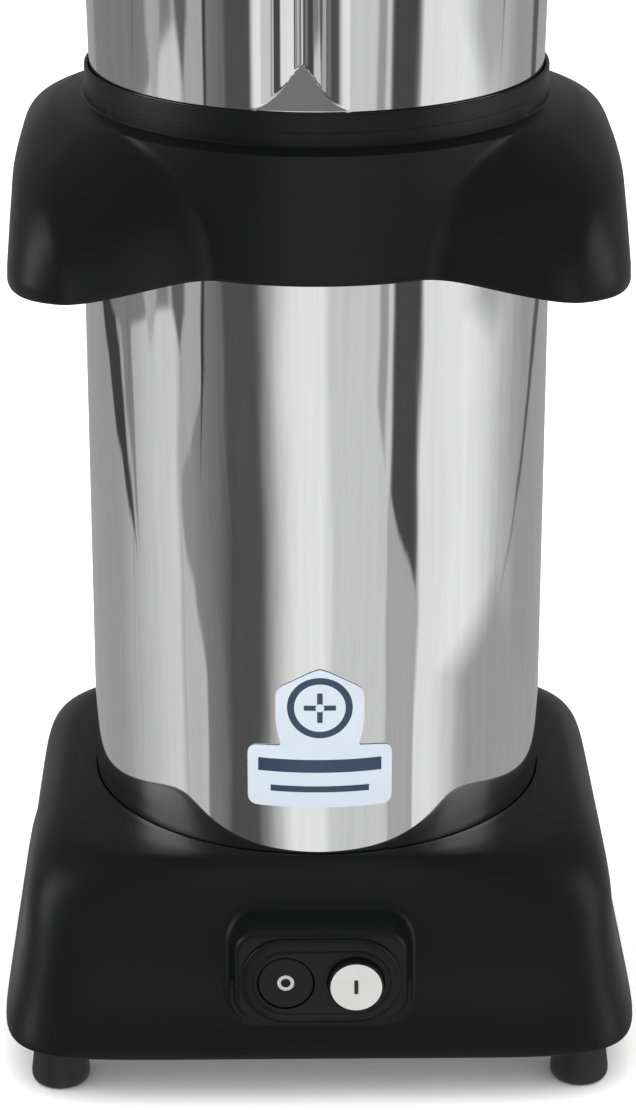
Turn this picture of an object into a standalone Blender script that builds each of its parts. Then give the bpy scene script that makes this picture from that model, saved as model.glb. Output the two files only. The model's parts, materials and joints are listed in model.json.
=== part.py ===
"""Commercial high-speed blender: black moulded base and collar, polished steel motor sleeve and jar.

All driving dimensions below are in millimetres. Meshes are written in metres, +Z up, with the
front (switch) side towards -Y and the motor axis on the Z axis. The origin is on the floor,
under the motor shaft. A column of surface is named by its azimuth: 0 degrees is the front,
90 degrees the +X side. Heights are measured from a datum plane that lies STAND above the floor,
and place() lifts every piece by that much.
"""
import math

import bmesh
import bpy

MM = 0.001
GAP = 0.3                      # clearance between pieces that touch

# Overall stack, heights above the datum
STAND = 3.4                    # the feet reach this far below the datum
FOOT_HEIGHT = 12.0
BASE_TOP = 73.0
SLEEVE_SEAT = 60.0
SLEEVE_TOP = 298.7
DECK_UNDER = 299.0
DECK_TOP = 303.5
RING_ROOT = 309.5
RING_STEP = 314.0
RING_TOP = 320.0
COLLAR_EDGE = 267.5
JAR_FOOT = 306.3
JAR_FLOOR = 330.0
JAR_TOP = 535.0
LID_TOP = 543.0

# Motor sleeve and shaft
SLEEVE_R = 76.2
SLEEVE_WALL = 1.0
SHAFT_R = 5.0
BORE_R = SHAFT_R + GAP

# Badge: a plate with rounded corners and a six-sided tab on top
BADGE_HALF_WIDTH = 23.8
BADGE_FOOT = 90.1
BADGE_STEP = 111.5
BADGE_CORNER = 3.5
BADGE_TAB_HALF = 14.3
BADGE_SHOULDER = 132.0
BADGE_APEX = 138.6

# Base shell
BASE_WALL = 4.0
BASE_BORE_R = SLEEVE_R + 0.6
BASE_LEDGE_R = 70.0
BASE_LEDGE = 4.0
# height, half width, half depth, squareness of the rounded-square section
BASE_LEVELS = (
    (12.0, 104.6, 104.0, 8.0),
    (14.0, 105.6, 105.0, 8.5),
    (26.0, 102.0, 98.3, 9.0),
    (40.0, 99.2, 92.5, 9.0),
    (54.0, 97.9, 86.0, 8.4),
    (64.0, 94.9, 81.8, 6.8),
    (71.0, 89.3, 79.0, 4.6),
)
FOOT_X = 86.0
FOOT_Y = 87.0
FOOT_BOSS_R = 7.0
FOOT_BOSS_TOP = 30.0
PLATE_THICK = 2.0

# Switch pod on the front of the base
POD_HALF_WIDTH = 30.5
POD_LOW = 21.5
POD_HIGH = 57.0
POD_FACE = 99.6                # distance of the pod's upright face in front of the axis
POD_EDGE = 2.5
BEZEL_WIDTH = 52.4
BEZEL_HEIGHT = 30.0
BEZEL_Z = 39.2
BEZEL_THICK = 2.2
NECK_WIDTH = 44.0
NECK_HEIGHT = 24.0
NECK_BACK = 92.0
BUTTON_X = 11.4
BUTTON_R = 9.1
BUTTON_LENGTH = 10.0
BUTTON_TRAVEL = 3.0

# Mains inlet at the back
INLET_Z = 34.0
INLET_FACE = 101.0
INLET_R = 13.0
GROMMET_R = 7.0

# Collar: height, half width, half depth, squareness, azimuths where a corner starts and is full
COLLAR_LEVELS = (
    (307.5, 86.0, 81.0, 2.0, 40.0, 60.0),
    (301.0, 93.4, 87.0, 2.8, 36.0, 52.0),
    (294.0, 96.4, 90.0, 3.9, 31.0, 45.0),
    (286.0, 96.6, 92.0, 5.0, 27.0, 39.5),
    (277.0, 96.9, 93.0, 7.0, 26.0, 38.0),
    (COLLAR_EDGE, 97.6, 93.5, 10.0, 26.0, 37.5),
)
COLLAR_HUG_R = 81.0            # front and back faces, which follow the sleeve
COLLAR_WALL = 3.0
EAR_DROP = 2.6                 # how far the corners hang below the front edge
RING_ROOT_R = 76.2
RING_R = 75.1
RING_LIP_R = 74.8
RING_BORE_R = 73.6
SEAL_HOLE_R = 16.0

# Jar
JAR_FOOT_R = 73.0
JAR_TAPER = 0.02
JAR_WALL = 1.2
FLUTE_AZIMUTHS = (-4.5, 115.5, 235.5)
FLUTE_HALF_WIDTH = 14.3
FLUTE_DEPTH = 8.5
FLUTE_START = 320.0
FLUTE_FULL = 334.0
FLUTE_FADE = (490.0, 514.0)
HANDLE_AZIMUTH = 55.5
HANDLE_LOW = 388.0
HANDLE_HIGH = 503.0
HANDLE_REACH = 118.0
HANDLE_R = 8.4
HANDLE_BEND = 18.0

FINISHES = {                   # colour, roughness, metallic
    "black_moulding": ((0.016, 0.016, 0.017), 0.38, 0.0),
    "polished_steel": ((0.66, 0.66, 0.67), 0.08, 1.0),
    "plain_steel": ((0.55, 0.55, 0.56), 0.35, 1.0),
    "black_rubber": ((0.02, 0.02, 0.02), 0.8, 0.0),
    "white_button": ((0.78, 0.78, 0.77), 0.35, 0.0),
    "badge_print": ((0.75, 0.79, 0.84), 0.4, 0.0),
    "copper_wire": ((0.72, 0.32, 0.16), 0.35, 1.0),
    "lamination": ((0.2, 0.2, 0.22), 0.5, 0.8),
    "brass_segments": ((0.75, 0.5, 0.25), 0.3, 1.0),
    "carbon": ((0.03, 0.03, 0.03), 0.6, 0.0),
    "cast_bracket": ((0.5, 0.5, 0.5), 0.5, 0.9),
    "grey_plastic": ((0.25, 0.25, 0.26), 0.5, 0.0),
}


def clear_scene():
    for obj in list(bpy.data.objects):
        bpy.data.objects.remove(obj)


def new_collection(name):
    group = bpy.data.collections.new(name)
    bpy.context.scene.collection.children.link(group)
    return group


def make_finish(name):
    colour, roughness, metallic = FINISHES[name]
    finish = bpy.data.materials.new(name)
    finish.use_nodes = True
    shader = finish.node_tree.nodes["Principled BSDF"]
    shader.inputs["Base Color"].default_value = (*colour, 1.0)
    shader.inputs["Roughness"].default_value = roughness
    shader.inputs["Metallic"].default_value = metallic
    finish.diffuse_color = (*colour, 1.0)
    return finish


def place(name, mesh, finish, group, at=(0, 0, 0), turn=(0, 0, 0)):
    """Wrap a mesh in an object that stands STAND higher; at is in millimetres, turn in degrees."""
    obj = bpy.data.objects.new(name, mesh)
    obj.location = (at[0] * MM, at[1] * MM, (at[2] + STAND) * MM)
    obj.rotation_euler = [math.radians(value) for value in turn]
    group.objects.link(obj)
    if finish:
        mesh.materials.append(make_finish(finish))
    else:
        obj.hide_render = True
        obj.display_type = "WIRE"
    return obj


def bmesh_to_mesh(name, bm):
    bmesh.ops.recalc_face_normals(bm, faces=bm.faces)
    mesh = bpy.data.meshes.new(name)
    bm.to_mesh(mesh)
    bm.free()
    return mesh


def smooth(mesh, angle=35.0):
    mesh.shade_smooth()
    mesh.set_sharp_from_angle(angle=math.radians(angle))


def turned(name, profile, finish, group, segments=32, **where):
    """Spin a profile of (radius, height) pairs, running down its outer side, round local Z."""
    mesh = bpy.data.meshes.new(name)
    count = len(profile)
    edges = [(i, i + 1) for i in range(count - 1)]
    if profile[0][0] > 0:      # a ring: the profile closes on itself
        edges.append((count - 1, 0))
    mesh.from_pydata([(r * MM, 0, z * MM) for r, z in profile], edges, [])
    obj = place(name, mesh, finish, group, **where)
    screw = obj.modifiers.new("turn", "SCREW")
    screw.steps = segments
    screw.render_steps = segments
    screw.use_merge_vertices = True
    screw.merge_threshold = 0.00001
    screw.use_smooth_shade = False
    return obj


def ring(outer, inner, low, high):
    """Profile of a plain ring."""
    return [(outer, high), (outer, low), (inner, low), (inner, high)]


def rod(radius, low, high):
    """Profile of a plain round bar."""
    return [(0, high), (radius, high), (radius, low), (0, low)]


def box(name, low, high, finish, group, edge=0.0, **where):
    bm = bmesh.new()
    bmesh.ops.create_cube(bm, size=1.0)
    for vert in bm.verts:
        vert.co = [((a + b) / 2 + (b - a) * c) * MM for a, b, c in zip(low, high, vert.co)]
    obj = place(name, bmesh_to_mesh(name, bm), finish, group, **where)
    if edge:
        bevel = obj.modifiers.new("edge", "BEVEL")
        bevel.width = edge * MM
        bevel.segments = 3
    return obj


def loft(name, rings, finish, group, **where):
    """Join rings of points, each to the next and the last to the first, into one closed skin."""
    bm = bmesh.new()
    rows = [[bm.verts.new([value * MM for value in point]) for point in row] for row in rings]
    count = len(rows[0])
    for row, above in zip(rows, rows[1:] + rows[:1]):
        for i in range(count):
            j = (i + 1) % count
            bm.faces.new((row[i], row[j], above[j], above[i]))
    obj = place(name, bmesh_to_mesh(name, bm), finish, group, **where)
    smooth(obj.data)
    return obj


def extruded(name, outline, low, high, finish, group, **where):
    """Prism of an outline of (x, z) pairs, between two distances in front of the axis."""
    bm = bmesh.new()
    face = bm.faces.new([bm.verts.new((x * MM, -low * MM, z * MM)) for x, z in outline])
    made = bmesh.ops.extrude_face_region(bm, geom=[face])
    moved = [item for item in made["geom"] if isinstance(item, bmesh.types.BMVert)]
    bmesh.ops.translate(bm, verts=moved, vec=(0, (low - high) * MM, 0))
    return place(name, bmesh_to_mesh(name, bm), finish, group, **where)


def combine(target, other, operation="DIFFERENCE"):
    step = target.modifiers.new(other.name, "BOOLEAN")
    step.operation = operation
    step.solver = "EXACT"
    step.object = other


def step_up(low, high, value):
    """Smooth step from 0 at low to 1 at high."""
    part = min(max((value - low) / (high - low), 0.0), 1.0)
    return part * part * (3 - 2 * part)


def folded(azimuth):
    """Angle from the nearest of front and back, 0 to 90 degrees."""
    return math.degrees(math.asin(min(abs(math.sin(math.radians(azimuth))), 1.0)))


def square_radius(azimuth, half_width, half_depth, squareness):
    """Radius of a rounded-square section in one direction."""
    a = math.radians(azimuth)
    across = abs(math.sin(a)) / half_width
    along = abs(math.cos(a)) / half_depth
    return (across ** squareness + along ** squareness) ** (-1 / squareness)


def corner_azimuths(per_quarter=14, crowding=1.4):
    """Azimuths round the object, closer together at the four corners."""
    angles = []
    for quarter in range(4):
        for i in range(per_quarter):
            offset = 2 * i / per_quarter - 1
            bend = math.copysign(abs(offset) ** crowding, offset)
            angles.append(90 * quarter + 45 + 45 * bend)
    return angles


def row(azimuths, radius, height):
    """Ring of points; radius and height are numbers or functions of the azimuth."""
    points = []
    for azimuth in azimuths:
        r = radius(azimuth) if callable(radius) else radius
        z = height(azimuth) if callable(height) else height
        a = math.radians(azimuth)
        points.append((r * math.sin(a), -r * math.cos(a), z))
    return points


def blend_levels(levels, height):
    """Values of a level table at one height, in straight steps between its rows."""
    ordered = sorted(levels)
    for low, high in zip(ordered, ordered[1:]):
        if height <= high[0]:
            break
    part = min(max((height - low[0]) / (high[0] - low[0]), 0.0), 1.0)
    return [a + (b - a) * part for a, b in zip(low[1:], high[1:])]


def base_radius(height, inset=0.0):
    width, depth, squareness = blend_levels(BASE_LEVELS, height)
    return lambda azimuth: square_radius(azimuth, width, depth, squareness) - inset


def collar_radius(height, inset=0.0, least=0.0):
    """Section of the collar: it hugs the sleeve in front and swells into four corners."""
    width, depth, squareness, start, full = blend_levels(COLLAR_LEVELS, height)

    def radius(azimuth):
        corner = square_radius(azimuth, width, depth, squareness)
        swell = step_up(start, full, folded(azimuth))
        return max(COLLAR_HUG_R + (corner - COLLAR_HUG_R) * swell - inset, least)
    return radius


def stadium(width, height, centre_z, steps=8):
    """Outline of a bar with round ends, as (x, z) pairs."""
    radius = height / 2
    reach = width / 2 - radius
    points = []
    for side in (1, -1):
        for i in range(steps + 1):
            a = math.pi * (i / steps - 0.5)
            points.append((side * (reach + radius * math.cos(a)), centre_z + side * radius * math.sin(a)))
    return points


def build_base(parts, cutters):
    azimuths = corner_azimuths()
    rings = [row(azimuths, base_radius(level[0]), level[0]) for level in BASE_LEVELS]
    rings += [
        row(azimuths, BASE_BORE_R, BASE_TOP),
        row(azimuths, BASE_BORE_R, SLEEVE_SEAT),
        row(azimuths, BASE_LEDGE_R, SLEEVE_SEAT),
        row(azimuths, BASE_LEDGE_R, SLEEVE_SEAT - BASE_LEDGE),
    ]
    for height in (SLEEVE_SEAT - BASE_LEDGE, 40.0, 26.0, 14.0, 12.0):
        rings.append(row(azimuths, base_radius(height, BASE_WALL), height))
    shell = loft("base_shell", rings, "black_moulding", parts)

    pod = box("pod_block", (-POD_HALF_WIDTH, -POD_FACE, POD_LOW), (POD_HALF_WIDTH, -80, POD_HIGH),
              None, cutters, edge=POD_EDGE)
    combine(shell, pod, "UNION")
    inlet = turned("inlet_block", rod(INLET_R, -INLET_FACE, -84), None, cutters, 24,
                   at=(0, 0, INLET_Z), turn=(90, 0, 0))
    combine(shell, inlet, "UNION")
    for side_x, side_y, tag in corners():
        boss = turned("boss_" + tag, rod(FOOT_BOSS_R, 14.7, FOOT_BOSS_TOP), None, cutters, 16,
                      at=(side_x * FOOT_X, side_y * FOOT_Y, 0))
        combine(shell, boss, "UNION")
        hole = turned("boss_hole_" + tag, rod(2.4, 10, 26), None, cutters, 12,
                      at=(side_x * FOOT_X, side_y * FOOT_Y, 0))
        combine(shell, hole)
    pocket = box("pod_pocket", (-25, 3.5 - POD_FACE, 26), (25, -70, 52), None, cutters)
    combine(shell, pocket)
    opening = extruded("pod_opening", stadium(NECK_WIDTH + 0.8, NECK_HEIGHT + 0.8, BEZEL_Z),
                       90, 110, None, cutters)
    combine(shell, opening)
    inlet_hole = turned("inlet_hole", rod(GROMMET_R + GAP, -115, -75), None, cutters, 24,
                        at=(0, 0, INLET_Z), turn=(90, 0, 0))
    combine(shell, inlet_hole)


def corners():
    """Signs and tags of the four corners of the base."""
    return [(x, y, front + "_" + side)
            for y, front in ((-1, "front"), (1, "rear"))
            for x, side in ((-1, "left"), (1, "right"))]


def build_underside(parts, cutters):
    azimuths = corner_azimuths()
    low = FOOT_HEIGHT + 0.2
    high = low + PLATE_THICK
    outline = base_radius(FOOT_HEIGHT, BASE_WALL + 0.6)
    centre = 12.0
    plate = loft("bottom_plate", [row(azimuths, outline, low), row(azimuths, outline, high),
                                  row(azimuths, centre, high), row(azimuths, centre, low)],
                 "plain_steel", parts)
    for index, x in enumerate((-54, -36, 36, 54)):
        slot = box("air_slot_%d" % index, (x - 3, -40, 8), (x + 3, 40, 18), None, cutters)
        combine(plate, slot)
    foot_top = FOOT_HEIGHT - 0.1
    foot_profile = [(8.8, foot_top), (8.9, 6.5), (9.5, 2.5), (9.7, 0.0), (9.3, 1.2 - STAND), (8.3, -STAND),
                    (5.2, -STAND), (5.2, 4.2), (2.4, 4.2), (2.4, foot_top)]
    screw_profile = [(0, 24.5), (2.0, 24.5), (2.0, 4.0), (4.6, 4.0), (4.6, 1.8), (4.0, 1.2), (0, 1.2)]
    for side_x, side_y, tag in corners():
        where = (side_x * FOOT_X, side_y * FOOT_Y, 0)
        hole = turned("plate_hole_" + tag, rod(2.4, 10, 18), None, cutters, 12, at=where)
        combine(plate, hole)
        turned("foot_" + tag, foot_profile, "black_rubber", parts, 16, at=where)
        turned("foot_screw_" + tag, screw_profile, "plain_steel", parts, 10, at=where)


def build_switch(parts, cutters):
    front = POD_FACE + GAP
    bezel = extruded("switch_bezel", stadium(BEZEL_WIDTH, BEZEL_HEIGHT, BEZEL_Z),
                     front, front + BEZEL_THICK, "black_moulding", parts)
    neck = extruded("bezel_neck", stadium(NECK_WIDTH, NECK_HEIGHT, BEZEL_Z), NECK_BACK, front + 1,
                    None, cutters)
    combine(bezel, neck, "UNION")
    for side, tag in ((-1, "off"), (1, "on")):
        well = turned("well_" + tag, rod(BUTTON_R + GAP, 85, 110), None, cutters, 28,
                      at=(side * BUTTON_X, 0, BEZEL_Z), turn=(90, 0, 0))
        combine(bezel, well)
    box("switch_body", (-22, 0.3 - NECK_BACK, 27.2), (22, -72, 50.6), "grey_plastic", parts)
    profile = [(0, 0), (BUTTON_R - 0.8, 0), (BUTTON_R, -0.8), (BUTTON_R, -BUTTON_LENGTH), (0, -BUTTON_LENGTH)]
    pressed = front + BEZEL_THICK - 0.1
    turned("button_off", profile, "black_moulding", parts, 28, at=(-BUTTON_X, -pressed, BEZEL_Z),
           turn=(90, 0, 0))
    turned("button_on", profile, "white_button", parts, 28,
           at=(BUTTON_X, -pressed - BUTTON_TRAVEL, BEZEL_Z), turn=(90, 0, 0))


def build_inlet(parts):
    flange = INLET_FACE + GAP
    profile = [(9.0, flange + 3.0), (10.5, flange + 1.5), (10.5, flange), (GROMMET_R, flange),
               (GROMMET_R, flange - 12), (3.6, flange - 12), (3.6, flange + 3.0)]
    turned("cord_grommet", profile, "black_rubber", parts, 24, at=(0, 0, INLET_Z), turn=(-90, 0, 0))


def build_sleeve(parts, cutters):
    turned("motor_sleeve", ring(SLEEVE_R, SLEEVE_R - SLEEVE_WALL, SLEEVE_SEAT + GAP, SLEEVE_TOP),
           "polished_steel", parts, 64)
    badge = turned("badge", ring(SLEEVE_R + 0.8, SLEEVE_R + GAP, BADGE_FOOT - 2, BADGE_APEX + 2),
                   "badge_print", parts, 96)
    half, corner = BADGE_HALF_WIDTH, BADGE_CORNER
    outline = []
    for x, z, start in ((half, BADGE_STEP, 0), (-half, BADGE_STEP, 90), (-half, BADGE_FOOT, 180),
                        (half, BADGE_FOOT, 270)):
        for i in range(4):
            a = math.radians(start + 30 * i)
            outline.append((x - math.copysign(corner, x) + corner * math.cos(a),
                            z - math.copysign(corner, z - 100) + corner * math.sin(a)))
    tab = [(BADGE_TAB_HALF, BADGE_STEP), (BADGE_TAB_HALF, BADGE_SHOULDER), (2.0, BADGE_APEX),
           (-2.0, BADGE_APEX), (-BADGE_TAB_HALF, BADGE_SHOULDER), (-BADGE_TAB_HALF, BADGE_STEP)]
    stamp = extruded("badge_outline", outline[:4] + tab + outline[4:], 60, 90, None, cutters)
    combine(badge, stamp, "INTERSECT")


def build_collar(parts):
    azimuths = corner_azimuths()

    def edge(azimuth):
        return COLLAR_EDGE - EAR_DROP * step_up(28, 42, folded(azimuth))

    def lifted(rise):
        return lambda azimuth: edge(azimuth) + rise
    inner = SLEEVE_R + 0.6
    rings = [
        row(azimuths, SEAL_HOLE_R + GAP, DECK_UNDER),
        row(azimuths, SEAL_HOLE_R + GAP, DECK_TOP),
        row(azimuths, RING_BORE_R, DECK_TOP),
        row(azimuths, RING_BORE_R, RING_TOP),
        row(azimuths, RING_LIP_R - 0.4, RING_TOP),
        row(azimuths, RING_LIP_R, RING_TOP - 0.5),
        row(azimuths, RING_LIP_R, RING_STEP + 0.4),
        row(azimuths, RING_R, RING_STEP),
        row(azimuths, RING_R, RING_ROOT + 0.4),
        row(azimuths, RING_ROOT_R, RING_ROOT),
    ]
    for level in COLLAR_LEVELS[:-1]:
        rings.append(row(azimuths, collar_radius(level[0]), level[0]))
    rings.append(row(azimuths, collar_radius(COLLAR_EDGE), lifted(1.2)))
    rings.append(row(azimuths, collar_radius(COLLAR_EDGE, 1.0), edge))
    rings.append(row(azimuths, collar_radius(COLLAR_EDGE, COLLAR_WALL, inner), edge))
    for height in (277.0, 286.0, 294.0):
        rings.append(row(azimuths, collar_radius(height, COLLAR_WALL, inner), height))
    rings.append(row(azimuths, collar_radius(301.0, COLLAR_WALL + 3, inner), DECK_UNDER))
    loft("collar", rings, "black_moulding", parts)
    turned("seat_gasket", ring(69.0, 42.0, DECK_TOP + GAP, JAR_FOOT - GAP), "black_rubber", parts, 36)
    seal = [(19.0, DECK_TOP + 1.5), (19.0, DECK_TOP + GAP), (SEAL_HOLE_R - GAP, DECK_TOP + GAP),
            (SEAL_HOLE_R - GAP, DECK_UNDER + 0.5), (BORE_R, DECK_UNDER + 0.5), (BORE_R, DECK_TOP + 1.5)]
    turned("shaft_seal", seal, "black_rubber", parts, 24)


def build_motor_frame(parts, cutters):
    """Two end brackets with bearings, joined by four tie rods."""
    rim = SLEEVE_R - SLEEVE_WALL - 0.4
    lower = [(rim, 84), (rim, 80), (18, 80), (18, 74), (6.5, 74), (6.5, 76), (13.3, 76), (13.3, 88),
             (18, 88), (18, 84)]
    upper = [(rim, 250), (rim, 246), (18, 246), (18, 242), (13.3, 242), (13.3, 254), (6.5, 254),
             (6.5, 256), (18, 256), (18, 250)]
    for name, profile in (("lower_bracket", lower), ("upper_bracket", upper)):
        bracket = turned(name, profile, "cast_bracket", parts, 32)
        middle = profile[0][1] - 2
        for index in range(4):
            a = math.radians(90 * index + 20)
            hole = turned("%s_air_%d" % (name, index), rod(13, middle - 6, middle + 6), None, cutters, 12,
                          at=(42 * math.cos(a), 42 * math.sin(a), 0))
            combine(bracket, hole)
    turned("lower_bearing", ring(13, BORE_R, 76.3, 85.3), "plain_steel", parts, 20)
    turned("upper_bearing", ring(13, BORE_R, 244.4, 253.7), "plain_steel", parts, 20)
    for index in range(4):
        a = math.radians(90 * index + 45)
        turned("tie_rod_%d" % (index + 1), rod(2.5, 84.3, 245.7), "plain_steel", parts, 10,
               at=(66 * math.cos(a), 66 * math.sin(a), 0))


def build_stator(parts, cutters):
    core = turned("stator_core", ring(58, 50, 130, 190), "lamination", parts, 32)
    poles = box("pole_block", (-18, -53, 130.5), (18, 53, 189.5), None, cutters)
    combine(core, poles, "UNION")
    bore = turned("stator_bore", rod(31.3, 120, 200), None, cutters, 32)
    combine(core, bore)
    for side, tag in ((-1, "front"), (1, "rear")):
        near, far = sorted((side * 33.5, side * 42.0))
        coil = box("field_coil_" + tag, (-26, near, 121), (26, far, 199), "copper_wire", parts, edge=2.0)
        gap = box("coil_window_" + tag, (-18.4, near - 5, 129.6), (18.4, far + 5, 190.4), None, cutters)
        combine(coil, gap)
    for side, tag in ((-1, "left"), (1, "right")):
        near, far = sorted((side * 20, side * 44))
        holder = box("brush_holder_" + tag, (near, -7, 84.4), (far, 7, 107), "grey_plastic", parts)
        window = box("brush_window_" + tag, (near - 5, -4.4, 95.6), (far + 5, 4.4, 104.4), None, cutters)
        combine(holder, window)
        near, far = sorted((side * 16.5, side * 40))
        box("carbon_brush_" + tag, (near, -4.1, 95.9), (far, 4.1, 104.1), "carbon", parts)


def build_rotor(parts, cutters):
    turned("motor_shaft", rod(SHAFT_R, 72, 312), "plain_steel", parts, 24)
    turned("commutator", ring(16, BORE_R, 92, 108), "brass_segments", parts, 24)
    turned("armature_winding_lower", ring(24, BORE_R, 112, 127.5), "copper_wire", parts, 24)
    turned("armature_core", ring(30.3, BORE_R, 128, 192), "lamination", parts, 24)
    turned("armature_winding_upper", ring(24, BORE_R, 192.5, 204), "copper_wire", parts, 24)
    fan_profile = [(12, 224), (12, 212), (44, 212), (44, 209.5), (BORE_R, 209.5), (BORE_R, 224)]
    fan = turned("cooling_fan", fan_profile, "grey_plastic", parts, 24)
    for index in range(8):
        vane = box("vane_%d" % index, (10, -1, 211), (43, 1, 222), None, cutters, turn=(0, 0, 45 * index))
        combine(fan, vane, "UNION")


def splined(radius, depth=1.5, count=6):
    """Radius of a drive spline with rounded teeth."""
    return lambda azimuth: radius + depth * math.cos(math.radians(azimuth * count))


def build_coupling(parts):
    azimuths = [10.0 * i for i in range(36)]
    driver = splined(12.5)
    socket = splined(13.1)
    low, top = DECK_TOP + 2.0, 316.0
    loft("drive_coupling", [row(azimuths, BORE_R, low), row(azimuths, BORE_R, top), row(azimuths, driver, top),
                            row(azimuths, driver, low)], "black_rubber", parts)
    cup = [row(azimuths, 19.5, 308.5), row(azimuths, 19.5, 321.5), row(azimuths, BORE_R, 321.5),
           row(azimuths, BORE_R, 316.8), row(azimuths, socket, 316.8), row(azimuths, socket, 308.5)]
    loft("driven_coupling", cup, "plain_steel", parts)


def jar_azimuths():
    """Azimuths round the jar, closer together across its three flutes."""
    half = math.degrees(FLUTE_HALF_WIDTH / JAR_FOOT_R)
    angles = []
    for centre in FLUTE_AZIMUTHS:
        angles += [centre + half * i / 4 for i in range(-4, 4)]
        plain = 120 - 2 * half
        angles += [centre + half + plain * i / 10 for i in range(10)]
    return angles


def jar_radius(height, inset=0.0):
    plain = JAR_FOOT_R + JAR_TAPER * (height - JAR_FOOT)
    rise = min(max((height - FLUTE_START) / (FLUTE_FULL - FLUTE_START), 0.0), 1.0)
    strength = FLUTE_DEPTH * (1 - step_up(*FLUTE_FADE, height))

    def radius(azimuth):
        offset = min(abs((azimuth - centre + 180) % 360 - 180) for centre in FLUTE_AZIMUTHS)
        across = math.radians(offset) * plain / FLUTE_HALF_WIDTH
        return plain - strength * min(max(1 - across, 0.0), rise) - inset
    return radius


def build_jar(parts):
    azimuths = jar_azimuths()
    floor_hole = 13.0
    outer = (514.0, 502.0, 490.0, FLUTE_FULL, FLUTE_START, JAR_FOOT)
    inner = (JAR_FLOOR + JAR_WALL, FLUTE_FULL, 490.0, 502.0, 514.0)
    rim = jar_radius(JAR_TOP)(60)
    rings = [row(azimuths, rim - JAR_WALL, JAR_TOP), row(azimuths, rim + 1.6, JAR_TOP),
             row(azimuths, rim + 2.2, JAR_TOP - 2), row(azimuths, rim + 1.6, JAR_TOP - 3.6)]
    rings += [row(azimuths, jar_radius(height), height) for height in outer]
    rings += [row(azimuths, jar_radius(height, JAR_WALL), height) for height in (JAR_FOOT, FLUTE_START)]
    rings.append(row(azimuths, jar_radius(JAR_FLOOR, JAR_WALL), JAR_FLOOR))
    rings.append(row(azimuths, floor_hole, JAR_FLOOR))
    rings.append(row(azimuths, floor_hole, JAR_FLOOR + JAR_WALL))
    rings += [row(azimuths, jar_radius(height, JAR_WALL), height) for height in inner]
    loft("jar_shell", rings, "polished_steel", parts)


def handle_path():
    """Distances from the axis and heights along the C-shaped grip."""
    start_low = 81.0
    start_high = 83.4
    bend = HANDLE_BEND
    path = [(start_low, HANDLE_LOW)]
    for i in range(7):
        a = math.radians(15 * i)
        path.append((HANDLE_REACH - bend + bend * math.sin(a), HANDLE_LOW + bend - bend * math.cos(a)))
    path.append((HANDLE_REACH, (HANDLE_LOW + HANDLE_HIGH) / 2))
    for i in range(7):
        a = math.radians(15 * i)
        path.append((HANDLE_REACH - bend + bend * math.cos(a), HANDLE_HIGH - bend + bend * math.sin(a)))
    path.append((start_high, HANDLE_HIGH))
    return path


def build_handle(parts, cutters):
    turn = HANDLE_AZIMUTH - 90
    curve = bpy.data.curves.new("handle_path", "CURVE")
    curve.dimensions = "3D"
    curve.bevel_depth = HANDLE_R * MM
    curve.bevel_resolution = 3
    curve.use_fill_caps = True
    path = handle_path()
    spline = curve.splines.new("POLY")
    spline.points.add(len(path) - 1)
    for point, (reach, height) in zip(spline.points, path):
        point.co = (reach * MM, 0, height * MM, 1)
    guide = bpy.data.objects.new("handle_guide", curve)
    parts.objects.link(guide)
    evaluated = guide.evaluated_get(bpy.context.evaluated_depsgraph_get())
    mesh = bpy.data.meshes.new_from_object(evaluated)
    bpy.data.objects.remove(guide)
    bm = bmesh.new()
    bm.from_mesh(mesh)
    bmesh.ops.remove_doubles(bm, verts=bm.verts, dist=0.00001)
    mesh = bmesh_to_mesh("jar_handle", bm)
    smooth(mesh, 50)
    handle = place("jar_handle", mesh, "black_moulding", parts, turn=(0, 0, turn))
    out = HANDLE_REACH + HANDLE_R
    for height, wall, tag in ((HANDLE_LOW, 76.0, "lower"), (HANDLE_HIGH, 78.4, "upper")):
        box("handle_bracket_" + tag, (wall, -11, height - 12), (wall + 4.4, 11, height + 12),
            "plain_steel", parts, edge=1.0, turn=(0, 0, turn))
        screw = [(0, out - 3), (3.6, out - 4), (3.6, out - 6), (1.8, out - 6), (1.8, wall + 7), (0, wall + 7)]
        hole = [(0, out + 2), (4.0, out + 2), (4.0, out - 6.3), (2.2, out - 6.3), (2.2, 70), (0, 70)]
        spin = {"at": (0, 0, height), "turn": (90, 0, turn + 90)}
        turned("handle_screw_" + tag, screw, "plain_steel", parts, 12, **spin)
        combine(handle, turned("handle_hole_" + tag, hole, None, cutters, 12, **spin))


def build_nut(name, flat_radius, bore, low, high, finish, parts):
    """Hexagon nut; flat_radius is from the axis to a flat."""
    azimuths = [10.0 * i for i in range(36)]

    def flats(azimuth):
        return flat_radius / math.cos(math.radians(azimuth % 60 - 30))
    loft(name, [row(azimuths, bore, low), row(azimuths, bore, high),
                row(azimuths, flats, high), row(azimuths, flats, low)], finish, parts)


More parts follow.
